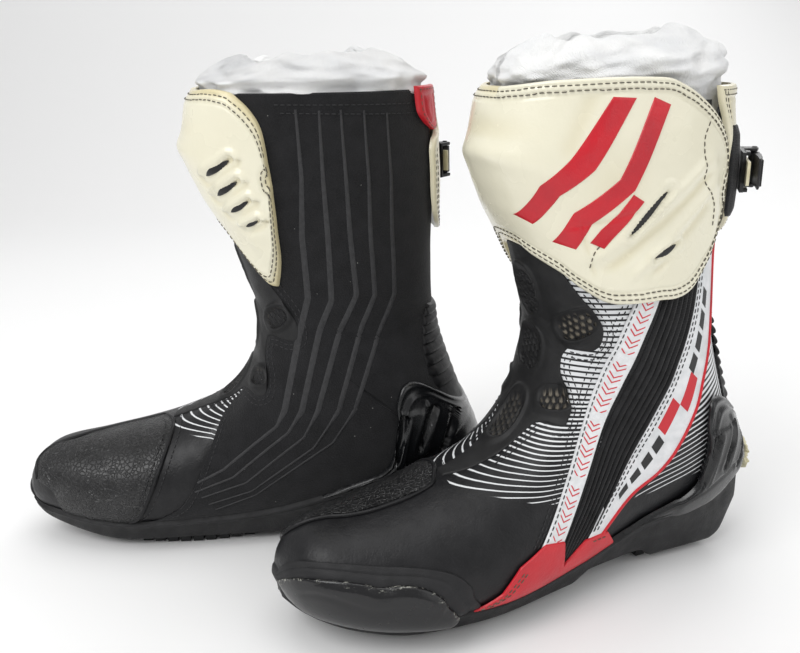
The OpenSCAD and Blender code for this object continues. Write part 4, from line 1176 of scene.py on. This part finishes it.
def toe(side, m):
    """Crackle-grained pad with its piped seam, the hard slider in a raised surround, and its screw."""
    s, u = column_grid([[-125, 2.05], [-84, 1.98], [-60, 1.34], [-24, 1.36], [-13, 1.75], [-4, 2.5],
                        [2, 2.75], [7, 3.3]],
                       [[-125, 3.78], [-100, 4.04], [-74, 4.14], [-35, 4.18], [-12, 4.12], [0, 4.02],
                        [4, 3.96], [7, 3.85]], -125, 7, 84, 110)
    s = np.minimum(s, 4.2)
    out = 1.25 + 0.2 * waves(s * 8, u / 20, 41)
    shell(side, "toe_pad", s, u, out, 1.2, m["crackle"], "foot", ("shift_pad",), edge=0.9)
    rear = [(3.78, -124), (4.04, -100), (4.15, -74), (4.19, -35), (4.14, -12), (4.02, 0), (3.9, 7), (3.6, 9),
            (3.2, 8.5), (2.8, 5), (2.45, -1), (1.75, -12), (1.38, -24), (1.34, -58)]
    a, b = surface_line(rear, 260)
    fit(make(side, "pad_welt", tube(skin(a, b, 0.75), 1.25), m["leather"]), side, "foot", ())
    rows = [(*surface_line([(k - 0.13, v) for k, v in rear[:5]] + [(3.9, 0)], 200), 1.45),
            (*surface_line([(k + 0.13, v - 1) for k, v in rear[:5]] + [(4.16, 4)], 200), 0.2)]
    thread(side, "pad_seam", rows, m["thread"], "foot")

    top = [(0.1, 62), (0.35, 60), (0.8, 62), (1.3, 64), (2.0, 67), (2.5, 70.5), (2.8, 74), (3.05, 74),
           (3.3, 76), (3.7, 86), (4.0, 99), (4.16, 113)]
    low = [(0.1, 150), (0.35, 147), (0.8, 142), (1.3, 138), (2.0, 136), (2.5, 134.5), (2.8, 134), (3.05, 133),
           (3.3, 132.5), (3.7, 131), (4.0, 128), (4.16, 124)]
    s, u = line_grid(top, low, 140, 64)
    d, share = border(skin(s, u, 0))[0], share_across(skin(s, u, 0))
    out = (6.9 - 1.4 * smooth((5 - d) / 5) + 0.9 * bell((share - 0.5) / 0.3) - 1.0 * bell((s - 2.78) / 0.2)
           * bell(share / 0.18) - 0.6 * bell((share - 0.3 - 0.05 * np.sin(s * 3)) / 0.05)
           * smooth((s - 0.7) / 0.6) * smooth((3.8 - s) / 0.4))
    shell(side, "toe_slider", s, u, out, 4.6, m["slider"], "foot", ("toe_slider",), edge=1.4)
    c, n = skin(2.1, 104, 6.9), outward(np.array(2.1), np.array(104.0))
    across = unit(np.cross([0, 0, 1.0], n))
    up = np.cross(n, across)
    k = np.linspace(0, 2 * np.pi, 16, endpoint=False)
    head = block(np.stack([2.6 * np.cos(k), 2.6 * np.sin(k)], 1), -2.0, 0.5, 0.4)
    head = (c + head[0][:, :1] * across + head[0][:, 1:2] * up + head[0][:, 2:] * n, head[1])
    fit(make(side, "screw_head", head, m["steel"]), side, "foot", ("slider_screw",))
    outer = [(0.03, 14), (0.35, 22), (0.8, 28), (1.3, 36), (2.0, 47), (2.8, 56), (3.4, 64), (3.95, 76),
             (4.3, 92), (4.5, 112), (4.52, 122)]
    inner = [(0.06, 66), (0.35, 64), (0.8, 66), (1.3, 68), (2.0, 71), (2.8, 78), (3.3, 80), (3.7, 90),
             (3.95, 103), (4.05, 114), (4.08, 124)]
    s, u = line_grid(outer, inner, 140, 30)
    share = share_across(skin(s, u, 0))
    out = 1.4 + 1.9 * smooth(share * 1.1) - 0.5 * bell((share - 0.38) / 0.06)
    shell(side, "slider_surround", s, u, out, 1.9, m["rubber"], "foot", (), edge=1.2)

    s = np.repeat(np.array([0.0, 0.0, 0.0, 0.02, 0.06, 0.14, 0.26, 0.36, 0.42])[:, None], 72, 1)
    u = np.repeat(np.linspace(0, 360, 72, endpoint=False)[None], 9, 0)
    o = np.array([-2.55, -1.6, 0.0, 0.9, 1.5, 1.8, 1.8, 1.5, 0.8])[:, None]
    shape = solid(skin(s, u, o), skin(s + 0.13, u, np.maximum(o - 1.3, -2.5)), True)
    fit(make(side, "toe_tip", shape, m["rubber"]), side, "foot", ())


def heel(side, m):
    """Heel shell: a moulded cup in two layers, with slanted windows, a double bead along its top edge and a
    ragged foam insert at the back."""
    low = [(6.75, 119.5), (7.2, 123), (7.7, 127), (8.2, 128.5), (8.66, 130), (8.84, 142), (8.86, 160),
           (8.86, 180), (8.86, 200), (8.84, 218), (8.66, 230), (8.2, 231.5), (7.7, 233), (7.2, 237),
           (6.75, 240.5)]
    top = [(6.72, 117.5), (7.22, 112), (7.75, 107), (8.3, 101), (8.9, 97), (9.55, 104), (9.93, 128),
           (9.86, 180), (9.93, 232), (9.55, 253), (8.9, 261), (8.3, 259), (7.75, 253), (7.22, 248),
           (6.72, 242.5)]
    k = np.linspace(0, 1, len(low))
    t = np.linspace(0, 1, 170)
    a, b = (np.stack([curve(np.stack([k, np.array(e)[:, j]], 1), t) for j in (0, 1)], -1) for e in (low, top))
    w = eased(74, 0.06)
    s = a[:, :1] + (b - a)[:, :1] * w
    u = a[:, 1:] + (b - a)[:, 1:] * w
    p = skin(s, u, 0)
    share = share_across(p)
    f, z = -p[..., 1], p[..., 2]
    turn = np.abs(u - 180)
    out = (2.7 + 1.1 * smooth((s - 6.9) / 1.2) + 0.7 * smooth((0.9 - share) / 0.05) * smooth((s - 7) / 0.8)
           + 0.9 * bell((share - 0.97) / 0.03) + 0.6 * bell((share - 0.86) / 0.03))
    # The second layer: a boomerang-shaped band, thicker behind, between two lines that rise to the back
    band = (smooth((z - 34 - (-f - 20) * 0.55) / 2.0) * smooth((96 + (turn < 60) * 6 - z) / 2.5)
            * smooth((-f - 16) / 3))
    out = out + 1.0 * band
    for *ends, wide in ((-31, 62, -37, 90, 3.6), (-46, 70, -54, 94, 3.4), (-60, 66, -68, 88, 3.0)):
        r, far = segment(f, z, *ends)
        hole = smooth((wide * (0.55 + 0.45 * r) - far) / 1.0)
        out = out - 3.0 * hole + 0.5 * bell((far - wide - 0.8) / 0.9)
    out = out - 0.7 * bell((z - 50 - (-f - 20) * 0.5) / 1.2) * smooth((-f + 2) / 4)
    shell(side, "heel_counter", s, u, np.clip(out, 2.2, 7.2), 2.2, m["shell"], "foot", ("heel_counter",),
          edge=0.9, sharp=50)
    s, u = row_grid([[8.86, 147], [8.95, 137], [9.1, 142], [9.25, 138], [9.4, 144], [9.5, 150]],
                    [[8.86, 152], [8.95, 160], [9.1, 154], [9.25, 162], [9.4, 158], [9.5, 156]], 8.86, 9.5,
                    60, 30)
    d, _, _ = border(skin(s, u, 0))
    out = 6.6 + 1.3 * smooth(d / 3) + 0.8 * waves(s * 60, u / 2, 51)
    shell(side, "heel_insert", s, u, out, 2.0, m["insert"], "foot", ("heel_insert",), edge=0.8)


def sole(side, m):
    """Outsole: a rubber tray whose rand climbs the upper and whose underside follows the ground line through
    heel block, arch, forefoot and toe spring, and tread blocks laid out in slanted rows below it."""
    s = 0.04 + (8.72 - 0.04) * np.linspace(0, 1, 150)[:, None]
    u = 117.0 + 126.0 * eased(70, 0.12)[None]
    s, u = np.broadcast_arrays(s, u)
    p = skin(s, u, 3.2)
    fields = cloth_fields(p)
    w = smooth((u - 132) / 14) * smooth((228 - u) / 14)
    ground = curve(SOLE_LINE, -p[..., 1])
    edge = np.minimum(u - 117, 243 - u)
    lip = 0.35 * bell((edge - 3.2) / 1.3) - 0.55 * bell((edge - 6.0) / 0.8) - 0.3 * bell((edge - 11) / 0.6)
    o = 3.2 - 2.6 * (1 - smooth(edge / 2.2)) + lip
    p = skin(s, u, np.minimum(o, 3.2 + 0.3))
    inner = skin(s, u, 0.3)
    ground = np.minimum(ground, inner[..., 2] - 2.5)
    p = np.concatenate([p[..., :2], (p[..., 2:] * (1 - w[..., None]) + ground[..., None] * w[..., None])], -1)
    fit(make(side, "outsole", solid(p, inner), m["sole"], fields, 50), side, "foot", ("outsole",))
    parts = []
    for f0 in list(np.arange(60, 146, 8.5)) + list(np.arange(-56, -8, 8.5)):
        front = f0 > 0
        half = 34.0 - 0.0035 * (f0 - 104) ** 2 if front else 26.0
        edges = np.linspace(-half, half, 7 if front else 5)
        for x0, x1 in zip(edges[:-1], edges[1:]):
            lean = 0.12 * abs((x0 + x1) / 2)
            outline = [(x0 + 0.9, -(f0 - lean)), (x1 - 0.9, -(f0 - lean)), (x1 - 0.9, -(f0 - lean + 6.6)),
                       (x0 + 0.9, -(f0 - lean + 6.6))]
            parts.append(block(outline, 0.0, 5.6, 0.5))
    fit(make(side, "tread_blocks", merged(parts), m["sole"]), side, "foot", ("tread",))


# ------------------------------------------------------------------ inner bootie


def bootie(side, m):
    """Padded knit collar, crumpled and quilted where it stands out of the shaft, and the bootie's lining:
    rings of the boot's own sections drawn in, with folds from sines whose phase drifts with height."""
    n = 176
    low = 0.0 if side == "left" else 0.13
    s_knots = [[0, 13.1], [0.14, 13.5], [0.26, 13.8], [0.42, 14.06 - low / 2], [0.56, 14.24 - low],
               [0.7, 14.37 - low], [0.82, 14.42 - low], [0.9, 14.38 - low], [1.0, 14.05 - low]]
    o_knots = [[0, -4.6], [0.14, -3.4], [0.26, -2.4], [0.36, -0.6], [0.5, 0.4], [0.62, -0.2], [0.75, -1.2],
               [0.88, -2.5], [1.0, -5.5]]
    t = np.linspace(0, 1, 80)
    s = np.repeat(curve(s_knots, t)[:, None], n, 1)
    u = np.repeat(np.linspace(0, 360, n, endpoint=False)[None], len(t), 0)
    puff = bpy.context.scene.boot_look.puff * 1000
    a = np.radians(u)
    shown = smooth((t - 0.2) / 0.12)[:, None]
    ring = lambda k, ph: np.sin(k * a + ph)
    fold = (ring(7, 4.2 * s) * ring(3, -2.0 * s) + 0.7 * ring(11, 9 * s + 1)
            + 0.45 * ring(17, -13 * s) * ring(2, 0.5))
    quilt = np.cos(12 * a + 16 * (s - 14)) * np.cos(12 * a - 16 * (s - 14))
    crumple = waves(s * 26, u / 9, 61) + 0.7 * waves(s * 55, u / 4.5, 62)
    out = curve(o_knots, t)[:, None] + shown * puff * (0.5 * fold + 0.45 * quilt + 0.65 * crumple)
    lift = smooth((t - 0.35) / 0.3)[:, None]
    crest = 1.2 * ring(3, 1.0) + 1.1 * ring(5, 2.2) + 0.9 * ring(9, 0.3) + 0.6 * ring(14, 1.7)

    def slumped(p, more):
        """The walls lean in towards the middle line as they rise, so that the opening is a narrow slit."""
        lean = curve([[0, 1], [0.42, 1.0], [0.56, 0.86], [0.7, 0.6], [0.82, 0.42], [0.9, 0.36], [1.0, 0.4]],
                     t)[:, None]
        q = p.copy()
        q[..., 0] = p[..., 0] * lean
        q[..., 1] = (p[..., 1] + 10) * (0.35 + 0.65 * lean) - 10
        q[..., 2] += lift * crest + more
        return q

    inner = slumped(skin(s, u, np.minimum(out - 3.5, -5.5)), -2.0 * lift)
    p = slumped(skin(s, u, out), 0)
    collar = fit(make(side, "knit_collar", solid(p, inner, True), m["knit"], cloth_fields(p), 180),
                 side, "shaft", ("bootie_collar",))

    s = np.repeat(np.linspace(0.8, 13.3, 90)[:, None], 60, 1)
    u = np.repeat(np.linspace(0, 360, 60, endpoint=False)[None], 90, 0)
    out = -6.2 + 0.3 * np.sin(np.radians(u) * 9 + s * 3)
    lining = fit(make(side, "bootie_lining", solid(skin(s, u, out), skin(s, u, out - 1.2), True), m["lining"],
                      cloth_fields(skin(s, u, 0))), side, "ankle", ("bootie",))


def kept_nodes(side, m):
    """Finishes for the frame's own parts that already have the right shape."""
    for name, mat in (("insole_board", "board"), ("zip_slider", "nylon")):
        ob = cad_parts[f"{side}_{name}"]
        ob.data.materials.clear()
        ob.data.materials.append(m[mat])


# ------------------------------------------------------------------ settings, operators and panel


def colour_prop(name, description, code):
    """Setting for a colour, given as an sRGB hex code."""
    return bpy.props.FloatVectorProperty(name=name, description=description, subtype="COLOR", size=3, min=0,
                                         max=1, default=linear(code)[:3])


def length_prop(name, description, default):
    """Setting for a length in metres."""
    return bpy.props.FloatProperty(name=name, description=description, default=default, min=0, precision=4,
                                   subtype="DISTANCE", unit="LENGTH")


class BootLook(bpy.types.PropertyGroup):
    ivory: colour_prop("Ivory", "Colour of the moulded shin and calf armour", "#EDE9D3")
    red: colour_prop("Red", "Colour of the patches, flashes and beads", "#CB1B29")
    white: colour_prop("White", "Colour of the printed strips", "#E9EAEC")
    leather: length_prop("Leather thickness", "Thickness of the sewn upper", 0.0024)
    armour: length_prop("Armour thickness", "Thickness of the moulded shin armour", 0.0026)
    stitch: length_prop("Stitch length", "Length of one stitch of the seams", 0.0025)
    pin_pitch: length_prop("Line pitch", "Distance from one printed line to the next", 0.0032)
    puff: length_prop("Collar puff", "Height of the knit collar's folds", 0.0023)


_made = {}


def finishes():
    """The materials, made once and shared by both boots."""
    if not _made:
        _made.update(materials(bpy.context.scene.boot_look))
    return _made


class BothBoots:
    """Runs its builders, each for the left boot and then the right"""

    def execute(self, context):
        for build in self.builders:
            for side in SIDES:
                build(side, finishes())
        return {"FINISHED"}


class BOOTS_OT_upper(BothBoots, bpy.types.Operator):
    """Builds the leather, the suede side and the bellows of both boots"""
    bl_idname = "boots.upper"
    bl_label = "Uppers"
    builders = (upper, bellows)


class BOOTS_OT_armour(BothBoots, bpy.types.Operator):
    """Builds the shin armour, the calf plates and the caps"""
    bl_idname = "boots.armour"
    bl_label = "Armour"
    builders = (armour, calf)


class BOOTS_OT_closure(BothBoots, bpy.types.Operator):
    """Builds the strips, stretch panels, zips and buckles"""
    bl_idname = "boots.closure"
    bl_label = "Closures"
    builders = (closure, buckle)


class BOOTS_OT_toe(BothBoots, bpy.types.Operator):
    """Builds the toe pads, sliders and their surrounds"""
    bl_idname = "boots.toe"
    bl_label = "Toes"
    builders = (toe,)


class BOOTS_OT_heel(BothBoots, bpy.types.Operator):
    """Builds the heel shells and their inserts"""
    bl_idname = "boots.heel"
    bl_label = "Heels"
    builders = (heel,)


class BOOTS_OT_sole(BothBoots, bpy.types.Operator):
    """Builds the outsoles and tread, and finishes the frame's own small parts"""
    bl_idname = "boots.sole"
    bl_label = "Soles"
    builders = (kept_nodes, sole)


class BOOTS_OT_bootie(BothBoots, bpy.types.Operator):
    """Builds the knit collars and the linings"""
    bl_idname = "boots.bootie"
    bl_label = "Booties"
    builders = (bootie,)


# Camera: turn round the pair, rise above the floor and roll; the point it looks at and its distance, in
# metres
CAMERA_TURN, CAMERA_RISE, CAMERA_ROLL = math.radians(66.7), math.radians(18.42), math.radians(-1.7)
CAMERA_LOOK, CAMERA_FAR = Vector((-0.1051, 0.06307, 0.10311)), 0.66162

# Area lights: name; metres to the camera's right, towards it and up; side in metres; power in watts
LIGHTS = (("key", -0.9, 1.0, 1.3, 1.1, 16), ("fill", 1.3, 0.9, 0.8, 1.4, 6),
          ("top", 0.0, -0.1, 1.7, 1.6, 12), ("rear", 0.9, -1.2, 1.1, 1.0, 6))


class BOOTS_OT_stage(bpy.types.Operator):
    """Makes the pale floor, the soft lights and the camera"""
    bl_idname = "boots.stage"
    bl_label = "Stage"

    def execute(self, context):
        scene = context.scene
        # Floor that curves up behind: flat for 1.1 m, then a quarter circle of 0.8 m, then a wall
        flat, radius, deep, wide = 1.1, 0.8, 60, 30
        t = np.linspace(-1.6, 3.2, deep)
        bend = np.clip((t - flat) / radius, 0, np.pi / 2)
        y = np.minimum(t, flat) + radius * np.sin(bend)
        z = radius * (1 - np.cos(bend)) + np.maximum(t - flat - radius * np.pi / 2, 0) - 0.0002
        x, y = np.meshgrid(np.linspace(-4, 4, wide), y, indexing="ij")
        cos, sin = math.cos(CAMERA_TURN), math.sin(CAMERA_TURN)
        turned = np.stack([cos * x - sin * y, sin * x + cos * y, np.broadcast_to(z, x.shape)], -1)
        me = bpy.data.meshes.new("floor")
        me.from_pydata(turned.reshape(-1, 3), [], grid_quads(wide, deep)[:, ::-1])
        me.shade_smooth()
        me.materials.append(finish("matt white backdrop paper", linear("#F2F2F2"), 0.9,
                                   Specular_IOR_Level=0.1))
        floor = bpy.data.objects.new("floor", me)
        scene.collection.objects.link(floor)

        # Camera: a direction out of the scene, its level right and up turned by the roll, and a distance
        back = Vector((sin * math.cos(CAMERA_RISE), -cos * math.cos(CAMERA_RISE), math.sin(CAMERA_RISE)))
        right = Vector((cos, sin, 0))
        up = back.cross(right)
        level, tilt = math.cos(CAMERA_ROLL), math.sin(CAMERA_ROLL)
        at = CAMERA_LOOK + back * CAMERA_FAR
        axes = (right * level + up * tilt, up * level - right * tilt, back, at)
        cam = bpy.data.objects.new("camera", bpy.data.cameras.new("camera"))
        cam.data.lens, cam.data.sensor_width, cam.data.clip_start = 37.94, 36.0, 0.01
        cam.matrix_world = Matrix([[a[k] for a in axes] for k in range(3)] + [[0, 0, 0, 1]])
        scene.collection.objects.link(cam)
        scene.camera = cam

        for name, side_way, forward, high, size, power in LIGHTS:
            light = bpy.data.lights.new(name, "AREA")
            light.size, light.energy = size, power
            ob = bpy.data.objects.new(name, light)
            towards = Vector((back.x, back.y, 0)).normalized()
            ob.location = CAMERA_LOOK + right * side_way + towards * forward + Vector((0, 0, high))
            ob.rotation_euler = (ob.location - CAMERA_LOOK).to_track_quat("Z", "Y").to_euler()
            scene.collection.objects.link(ob)
        world = bpy.data.worlds.new("studio")
        world.use_nodes = True
        sky = world.node_tree.nodes["Background"].inputs
        sky["Color"].default_value, sky["Strength"].default_value = linear("#FFFFFF"), 0.46
        scene.world = world
        scene.view_settings.view_transform = "Standard"
        return {"FINISHED"}


OPERATORS = (BOOTS_OT_upper, BOOTS_OT_armour, BOOTS_OT_closure, BOOTS_OT_toe, BOOTS_OT_heel, BOOTS_OT_sole,
             BOOTS_OT_bootie, BOOTS_OT_stage)


class BOOTS_PT_panel(bpy.types.Panel):
    """Sizes and colours of the boots, and a button for each group of pieces"""
    bl_idname = "BOOTS_PT_panel"
    bl_label = "Riding boots"
    bl_space_type = "VIEW_3D"
    bl_region_type = "UI"
    bl_category = "Boots"

    def draw(self, context):
        for key in BootLook.__annotations__:
            self.layout.prop(context.scene.boot_look, key)
        for op in OPERATORS:
            self.layout.operator(op.bl_idname)


CLASSES = (BootLook, *OPERATORS, BOOTS_PT_panel)


def register():
    for c in CLASSES:
        bpy.utils.register_class(c)
    bpy.types.Scene.boot_look = bpy.props.PointerProperty(type=BootLook)


def unregister():
    del bpy.types.Scene.boot_look
    for c in reversed(CLASSES):
        bpy.utils.unregister_class(c)


def main():
    register()
    for op in OPERATORS:
        group, name = op.bl_idname.split(".")
        getattr(getattr(bpy.ops, group), name)()


if __name__ == "__main__":
    main()
